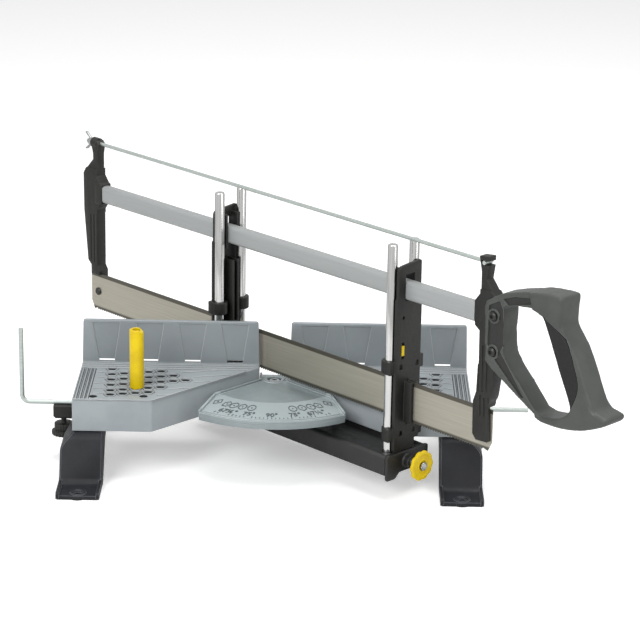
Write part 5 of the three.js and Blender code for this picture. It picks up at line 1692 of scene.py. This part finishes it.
def make_screw(place, face):
    """Countersunk screw, driven upwards, with a cross recess. Its head is flush with the face."""
    head = turned(
        [
            (0, face),
            (3, face),
            (3.5, face + 0.3),
            (3.5, face + 0.5),
            (1.75, face + 2.2),
            (0, face + 2.2),
        ],
        place,
        sides=36,
    )
    x, y = place
    cross = [
        block((x - 1.9, y - 0.4, face - 1), (x + 1.9, y + 0.4, face + 1)),
        block((x - 0.4, y - 1.9, face - 1), (x + 0.4, y + 1.9, face + 1)),
    ]
    carve(head, *cross)
    return gather(head, round_bar((x, y, face + 1), 13, 1.75, sides=20))


def make_seat(place, face):
    """What a countersunk screw's seat takes away."""
    return turned(
        [
            (0, face - 1),
            (3.8, face - 1),
            (3.8, face + 0.5),
            (2.05, face + 2.4),
            (2.05, face + 9),
            (0, face + 9),
        ],
        place,
        sides=36,
    )


BENCH = -66.5
DECK = TABLE_BOTTOM - SEAT_GAP
FOOT_INNER = TABLE_REACH - 29.6
FOOT_OUTER = TABLE_REACH + 10.9
FOOT_WAIST = TABLE_REACH - 0.9
FOOT_KNEE = -31
FOOT_WALL = 3
LIP_FRONT = -155.5
LIP_TOP = BENCH + 4
BEND = -122
RAMP_TOP = -107
FOOT_HOLE = -146.5
FOOT_SCREWS = ((TABLE_REACH - 9.9, -62), (TABLE_REACH - 9.9, -8))


def foot_front(inset):
    """The right foot seen from the front, moved in by the inset. It flares down to the knee."""
    run = 2 if inset else 0
    return slab(
        outline(
            [
                (FOOT_INNER + inset, BENCH - run),
                (FOOT_OUTER - inset, BENCH - run),
                (FOOT_OUTER - inset, FOOT_KNEE, 4),
                (FOOT_WAIST - inset, DECK),
                (FOOT_WAIST - inset, DECK + run + 0.01),
                (FOOT_INNER + inset, DECK + run + 0.01),
            ]
        ),
        LIP_FRONT - 2,
        66,
        "Y",
    )


def make_right_foot():
    cheek = outline(
        [
            (LIP_FRONT, BENCH, 3),
            (-111, BENCH, 3),
            (-85, -32, 6),
            (-53, DECK - 4),
            (-53, DECK),
            (RAMP_TOP + 3, DECK, 6),
            (BEND, LIP_TOP + 3, 5),
            (LIP_FRONT, LIP_TOP + 3, 3),
        ]
    )
    cheeks = slab(cheek, FOOT_INNER, FOOT_OUTER, "X")
    carve(cheeks, foot_front(0), operation="INTERSECT")
    carve(cheeks, foot_front(FOOT_WALL))
    soften(cheeks, 0.8, 3, 45)
    ramp = outline(
        [
            (LIP_FRONT + 0.6, BENCH),
            (BEND + 3, BENCH),
            (RAMP_TOP + 9, DECK - 4),
            (RAMP_TOP + 9, DECK - 0.2),
            (RAMP_TOP, DECK - 0.2, 7),
            (BEND - 3, LIP_TOP, 6),
            (LIP_FRONT + 0.6, LIP_TOP),
        ]
    )
    ramp = carve(slab(ramp, FOOT_INNER, FOOT_OUTER, "X"), foot_front(1.5), operation="INTERSECT")
    middle = (FOOT_INNER + FOOT_OUTER) / 2
    bulge = round_bar((middle, FOOT_HOLE, BENCH), 4.01, 10, sides=64)
    carve(ramp, bulge, operation="UNION")
    soften(ramp, 0.7, 2, 50)
    rim_foot, rim_top = LIP_TOP - 1, LIP_TOP + 1
    rim = turned(
        [
            (4.2, rim_foot),
            (4.2, rim_top - 0.7),
            (4.8, rim_top),
            (7, rim_top),
            (7.6, rim_top - 0.7),
            (7.6, rim_foot),
        ],
        (middle, FOOT_HOLE),
        sides=64,
    )
    hole = round_bar((middle, FOOT_HOLE, BENCH - 2), 10, 3, sides=40)
    floor = LIP_TOP - 0.8
    sink = turned([(0, floor), (4.2, floor), (4.2, 0), (0, 0)], (middle, FOOT_HOLE))
    carve(ramp, hole, sink)
    bridge = block((FOOT_INNER, RAMP_TOP + 7, DECK - 4), (FOOT_WAIST, 64, DECK))
    soften(bridge, 0.5, 2, 50)
    carve(bridge, *[make_seat(place, DECK - 4) for place in FOOT_SCREWS])
    leg = block((FOOT_INNER, 38, BENCH), (FOOT_WAIST, 64, DECK - 1))
    round_edges(leg, 2.5, 4, lambda a, b: abs(a.z - b.z) > 20)
    carve(leg, block((FOOT_INNER + 4, 30, LIP_TOP), (FOOT_WAIST - 4, 60, DECK - 4)))
    soften(leg, 0.7, 2, 50)
    ribs = [
        block((FOOT_INNER + 1.5, y - 1.5, DECK - 9), (FOOT_WAIST - 1.5, y + 1.5, DECK - 2))
        for y in (-80, -15)
    ]
    return gather(cheeks, ramp, rim, bridge, leg, *[soften(rib, 0.5, 2, 50) for rib in ribs])


right_foot = make_right_foot()
left_foot = flipped(cloned(right_foot))
for foot, foot_node in ((right_foot, "right_foot"), (left_foot, "left_foot")):
    fit(smooth(foot), foot_node + "_moulded", "base", "foot_plastic", FOOT_PLASTIC, foot_node)


# Length stop, its clamp and the clamp's screw

STOP_DEPTH = -45
STOP_HEIGHT = -10.5
STOP_RADIUS = 2.25
STOP_BORE = 2.7
STOP_BEND = 7
STOP_TOP = 64
STOP_LEFT = -242
STOP_RIGHT = 246
CLAMP_OUTER = 211.6
CLAMP_TOP = -12.2
CLAMP_BOTTOM = -25.5
CLAMP_SCREW = -202.2
THUMB_BOTTOM = -43
THUMB_STEP = -38.6
THUMB_TOP = -31.2


def make_stop_rod():
    """The rod's round end is drawn down, bent round a corner and drawn to the right."""
    let_go()
    bpy.ops.mesh.primitive_circle_add(vertices=28, radius=STOP_RADIUS * MM, fill_type="NGON")
    rod = bpy.context.object
    rod.location = Vector((STOP_LEFT, STOP_DEPTH, STOP_TOP)) * MM
    settle(rod)
    drop = STOP_HEIGHT + STOP_BEND - STOP_TOP
    run = STOP_RIGHT - STOP_LEFT - STOP_BEND
    bpy.ops.object.mode_set(mode="EDIT")
    bpy.ops.mesh.select_all(action="SELECT")
    bpy.ops.mesh.extrude_region_move(TRANSFORM_OT_translate={"value": Vector((0, 0, drop)) * MM})
    bpy.ops.mesh.spin(
        steps=8,
        angle=math.pi / 2,
        center=Vector((STOP_LEFT + STOP_BEND, STOP_DEPTH, STOP_HEIGHT + STOP_BEND)) * MM,
        axis=(0, 1, 0),
    )
    bpy.ops.mesh.extrude_region_move(TRANSFORM_OT_translate={"value": Vector((run, 0, 0)) * MM})
    bpy.ops.mesh.select_all(action="SELECT")
    bpy.ops.mesh.normals_make_consistent(inside=False)
    bpy.ops.object.mode_set(mode="OBJECT")
    return soften(rod, 0.5, 2, 60)


def make_clamp():
    inner = TABLE_REACH + SEAT_GAP
    section = outline(
        [
            (STOP_DEPTH - 7, CLAMP_TOP, 1),
            (STOP_DEPTH - 7, CLAMP_BOTTOM, 2.5),
            (STOP_DEPTH + 7, CLAMP_BOTTOM, 2.5),
            (STOP_DEPTH + 7, CLAMP_TOP, 1),
        ]
    )
    body = slab(section, -CLAMP_OUTER, -inner, "X")
    corner = [(-CLAMP_OUTER + 5.5, -30), (-CLAMP_OUTER - 1, -20.5, 6)]
    corner = outline([(-225, -30), *corner, (-225, -20.5)])
    carve(body, slab(corner, STOP_DEPTH - 9, STOP_DEPTH + 9, "Y"))
    soften(body, 0.8, 3, 50)
    at = (STOP_DEPTH, STOP_HEIGHT)
    back, tip = -inner - 2, 4.5 - inner
    spigot = turned([(0, back), (5, back), (5, tip - 0.4), (4.6, tip), (0, tip)], at, "X")
    carve(body, spigot, operation="UNION")
    open_low = (-CLAMP_OUTER - 2, STOP_DEPTH - STOP_BORE, STOP_HEIGHT)
    open_high = (-inner, STOP_DEPTH + STOP_BORE, CLAMP_TOP + 3)
    carve(
        body,
        round_bar((-CLAMP_OUTER - 2, *at), 34, STOP_BORE, "X"),
        block(open_low, open_high),
        round_bar((CLAMP_SCREW, STOP_DEPTH, CLAMP_BOTTOM - 2), 17, 2.9),
    )
    return body


def make_thumb_screw():
    """Knurled head of two steps on a threaded shank, under the clamp."""
    centre = (CLAMP_SCREW, STOP_DEPTH)
    head = slab(wavy_rim(12, 0.7, 20, centre, 6), THUMB_BOTTOM, THUMB_STEP)
    soften(head, 0.8, 2, 60)
    neck = slab(wavy_rim(9.3, 0.5, 20, centre, 6), THUMB_STEP - 0.8, THUMB_TOP)
    soften(neck, 0.8, 2, 60)
    shank = round_bar((*centre, -40), 26.9, 2.4, sides=28)
    thread = turned([(2.2, 0), (2.6, 0.3), (2.6, 0.45), (2.2, 0.75)], (0, 0), sides=28)
    threads = copies(thread, [(*centre, -31 + 1.0 * i) for i in range(17)])
    return gather(head, neck, shank, threads)


stop_rod = smooth(make_stop_rod())
fit(stop_rod, "stop_rod_bent", "stop_rod", "bright_steel", WIRE_STEEL, "length_stop_rod")
clamp = smooth(make_clamp())
fit(clamp, "rod_clamp_block", "base", "black_plastic", BLACK_PLASTIC, "rod_clamp")
thumb_screw = smooth(make_thumb_screw())
fit(
    thumb_screw,
    "thumb_screw_black",
    "clamp_screw",
    "black_plastic",
    BLACK_PLASTIC,
    "clamp_thumb_screw",
)


# Peg

PEG_HOLE = (-130.7, -69.54)
PEG_CENTRE = (-129.7, -66.18)
PEG_TOP = 72


def make_peg():
    """Hollow peg with a slanted top, on a spigot that stands off its centre."""
    foot = TABLE_TOP + SEAT_GAP
    body = turned(
        [(0, foot), (6.3, foot), (6.75, foot + 0.5), (6.75, PEG_TOP + 2), (0, PEG_TOP + 2)],
        PEG_CENTRE,
        sides=56,
    )
    x, y = PEG_CENTRE
    slant = [(x - 12, PEG_TOP + 6), (x + 12, PEG_TOP + 6), (x + 12, PEG_TOP - 5.6)]
    slant += [(x + 2, PEG_TOP), (x - 12, PEG_TOP)]
    carve(body, slab(slant, y - 12, y + 12, "Y"))
    soften(body, 0.8, 3, 50)
    carve(body, round_bar((x, y, PEG_TOP - 30), 40, 4, sides=40))
    spigot = turned(
        [(0, foot - 9), (2.6, foot - 9), (3.05, foot - 8.4), (3.05, foot + 1), (0, foot + 1)],
        PEG_HOLE,
        sides=40,
    )
    return gather(body, spigot)


peg = smooth(make_peg())
fit(peg, "peg_yellow", "peg", "yellow_plastic", YELLOW, "cam_peg")


# Pivot, screws, plunger and pins


def make_pivot_bolt():
    head = turned(
        [(0, -2.7), (5.25, -2.7), (5.25, -0.9), (4.9, -0.3), (4.2, 0), (0, 0)], (0, 0), sides=56
    )
    socket = [(2.6 * math.cos(i * math.pi / 3), 2.6 * math.sin(i * math.pi / 3)) for i in range(6)]
    carve(head, slab(socket, -1.9, 1))
    shank = turned([(0, -36), (3.4, -36), (4, -35.4), (4, -2), (0, -2)], (0, 0))
    return gather(head, shank)


def make_plunger():
    """Round rod with a collar for the spring, a head and the tooth that drops in the notches."""
    at = (0, PLUNGER_HEIGHT)
    shaft = [(0, 74), (3.6, 74), (4, 74.4), (4, 196.7)]
    stud = [(3, 196.8), (3, 203), (2.7, 203.3), (0, 203.3)]
    rod = turned(shaft + stud, at, "X")
    collar = turned([(3, 101), (6, 101), (6.4, 101.4), (6.4, 103.6), (6, 104), (3, 104)], at, "X")
    head = soften(block((76, -6, PLUNGER_HEIGHT - 4), (89, 6, -24.85)), 0.6, 2, 50)
    tooth = soften(block((81, -2.5, PLUNGER_HEIGHT), (86, 2.5, -14.5)), 0.4, 2, 50)
    return gather(rod, collar, head, tooth)


def make_spring():
    """Wire turned round the plunger nine times."""
    let_go()
    first, last, turns = 105.1, 155.9, 9
    bpy.ops.mesh.primitive_circle_add(vertices=10, radius=0.8 * MM, fill_type="NOTHING")
    wire = bpy.context.object
    wire.rotation_euler = (math.pi / 2, 0, 0)
    wire.location = (5.5 * MM, 0, 0)
    settle(wire)
    coil = wire.modifiers.new("coil", "SCREW")
    coil.axis = "Z"
    coil.angle = 2 * math.pi
    coil.screw_offset = (last - first) / turns * MM
    coil.iterations = turns
    coil.steps = coil.render_steps = 28
    coil.use_merge_vertices = False
    apply_all(wire)
    bpy.ops.object.mode_set(mode="EDIT")
    bpy.ops.mesh.select_all(action="SELECT")
    bpy.ops.mesh.fill_holes(sides=0)
    bpy.ops.mesh.select_all(action="SELECT")
    bpy.ops.mesh.normals_make_consistent(inside=False)
    bpy.ops.object.mode_set(mode="OBJECT")
    wire.rotation_euler = (0, math.pi / 2, 0)
    wire.location = Vector((first, 0, PLUNGER_HEIGHT)) * MM
    return settle(wire)


def make_blade_pin(t, height, way):
    face = 0.75 * way
    top = face + 1.5 * way
    head = [(0, face), (4, face), (4, face + 0.8 * way), (3.2, top), (0, top)]
    body = turned(head, (t, height), "Y")
    near, far = sorted((face, -5.65 * way))
    return gather(body, round_bar((t, near, height), far - near, 2.6, "Y", 28))


bolt = smooth(make_pivot_bolt())
fit(bolt, "pivot_bolt_head", "base", "bright_steel", BRIGHT_STEEL, "pivot_bolt")
screw_places = {
    "plate_screw_right_front": (88, -38, TABLE_BOTTOM - 3.8),
    "plate_screw_right_rear": (70, -12, TABLE_BOTTOM - 3.8),
    "foot_screw_right_front": (*FOOT_SCREWS[0], DECK - 4),
    "foot_screw_right_rear": (*FOOT_SCREWS[1], DECK - 4),
}
for right_node, (x, y, face) in screw_places.items():
    for way, screw_node in ((1, right_node), (-1, right_node.replace("right", "left"))):
        screw = smooth(make_screw((way * x, y), face))
        fit(screw, screw_node + "_pan", "base", "bright_steel", BRIGHT_STEEL, screw_node)
plunger = smooth(make_plunger())
fit(
    plunger,
    "detent_plunger_rod",
    "plunger",
    "bright_steel",
    BRIGHT_STEEL,
    "detent_plunger",
    swings=True,
)
spring = smooth(make_spring(), 60)
fit(spring, "plunger_coil", "arm", "bright_steel", BRIGHT_STEEL, "plunger_spring", swings=True)
pins = (("rear_blade_pin", (-267, 27, -1)), ("front_blade_pin", (270.5, 24, 1)))
for pin_node, pin_place in pins:
    pin = smooth(make_blade_pin(*pin_place))
    fit(pin, pin_node + "_steel", "saw", "bright_steel", DARK_STEEL, pin_node, swings=True)


# Floor, light and camera


def make_floor():
    let_go()
    bpy.ops.mesh.primitive_plane_add(size=8, location=(0, 0, -66.5 * MM))
    floor = settle(bpy.context.object)
    floor.name = "floor"
    material = bpy.data.materials.new("pale_floor")
    material.use_nodes = True
    tree = material.node_tree
    shader = tree.nodes["Principled BSDF"]
    shader.inputs["Base Color"].default_value = (0.9, 0.9, 0.9, 1)
    shader.inputs["Roughness"].default_value = 0.9
    shader.inputs["Specular IOR Level"].default_value = 0.0
    path = add(tree, "ShaderNodeLightPath")
    strength = maths(tree, "MULTIPLY", path.outputs["Is Camera Ray"], 0.35)
    shader.inputs["Emission Color"].default_value = (1, 1, 1, 1)
    tree.links.new(strength, shader.inputs["Emission Strength"])
    floor.data.materials.append(material)


def make_world():
    world = bpy.data.worlds.new("studio")
    bpy.context.scene.world = world
    world.use_nodes = True
    tree = world.node_tree
    tree.nodes.clear()
    path = add(tree, "ShaderNodeLightPath")
    seen = maths(tree, "MAXIMUM", path.outputs["Is Camera Ray"], path.outputs["Is Glossy Ray"])
    seen = maths(tree, "MAXIMUM", seen, path.outputs["Is Transmission Ray"])
    soft = add(tree, "ShaderNodeBackground")
    soft.inputs["Strength"].default_value = 0.42
    white = add(tree, "ShaderNodeBackground")
    white.inputs["Strength"].default_value = 1.0
    mix = add(tree, "ShaderNodeMixShader")
    tree.links.new(seen, mix.inputs["Fac"])
    tree.links.new(soft.outputs["Background"], mix.inputs[1])
    tree.links.new(white.outputs["Background"], mix.inputs[2])
    out = add(tree, "ShaderNodeOutputWorld")
    tree.links.new(mix.outputs["Shader"], out.inputs["Surface"])


def make_lamp(name, place, target, size, power):
    let_go()
    bpy.ops.object.light_add(type="AREA", location=place)
    lamp = bpy.context.object
    lamp.name = name
    lamp.data.shape = "DISK"
    lamp.data.size = size
    lamp.data.energy = power
    way = Vector(target) - Vector(place)
    lamp.rotation_euler = way.to_track_quat("-Z", "Y").to_euler()


def make_camera():
    """The camera stands left of the fence's front, slightly above, and far off."""
    bpy.ops.object.camera_add()
    camera = bpy.context.object
    camera.name = "camera"
    yaw = Matrix.Rotation(math.radians(0.0850), 4, "Z")
    pitch = Matrix.Rotation(math.radians(90 - 18.4974), 4, "X")
    roll = Matrix.Rotation(math.radians(0.9768), 4, "Z")
    place = Matrix.Translation(Vector((47.077, -2303.063, 832.857)) * MM)
    camera.matrix_world = place @ yaw @ pitch @ roll
    camera.data.sensor_width = 36
    camera.data.lens = 140.487
    camera.data.clip_start = 0.05
    camera.data.clip_end = 50
    bpy.context.scene.camera = camera


make_floor()
make_world()
make_camera()
make_lamp("key_lamp", (-1.3, -1.9, 1.6), (0, 0, 0), 1.6, 46)
make_lamp("top_lamp", (0.3, 0.2, 2.2), (0, 0, 0), 1.8, 30)
make_lamp("fill_lamp", (1.9, -1.2, 0.9), (0, 0, 0), 1.5, 14)
bpy.context.scene.view_settings.view_transform = "Standard"
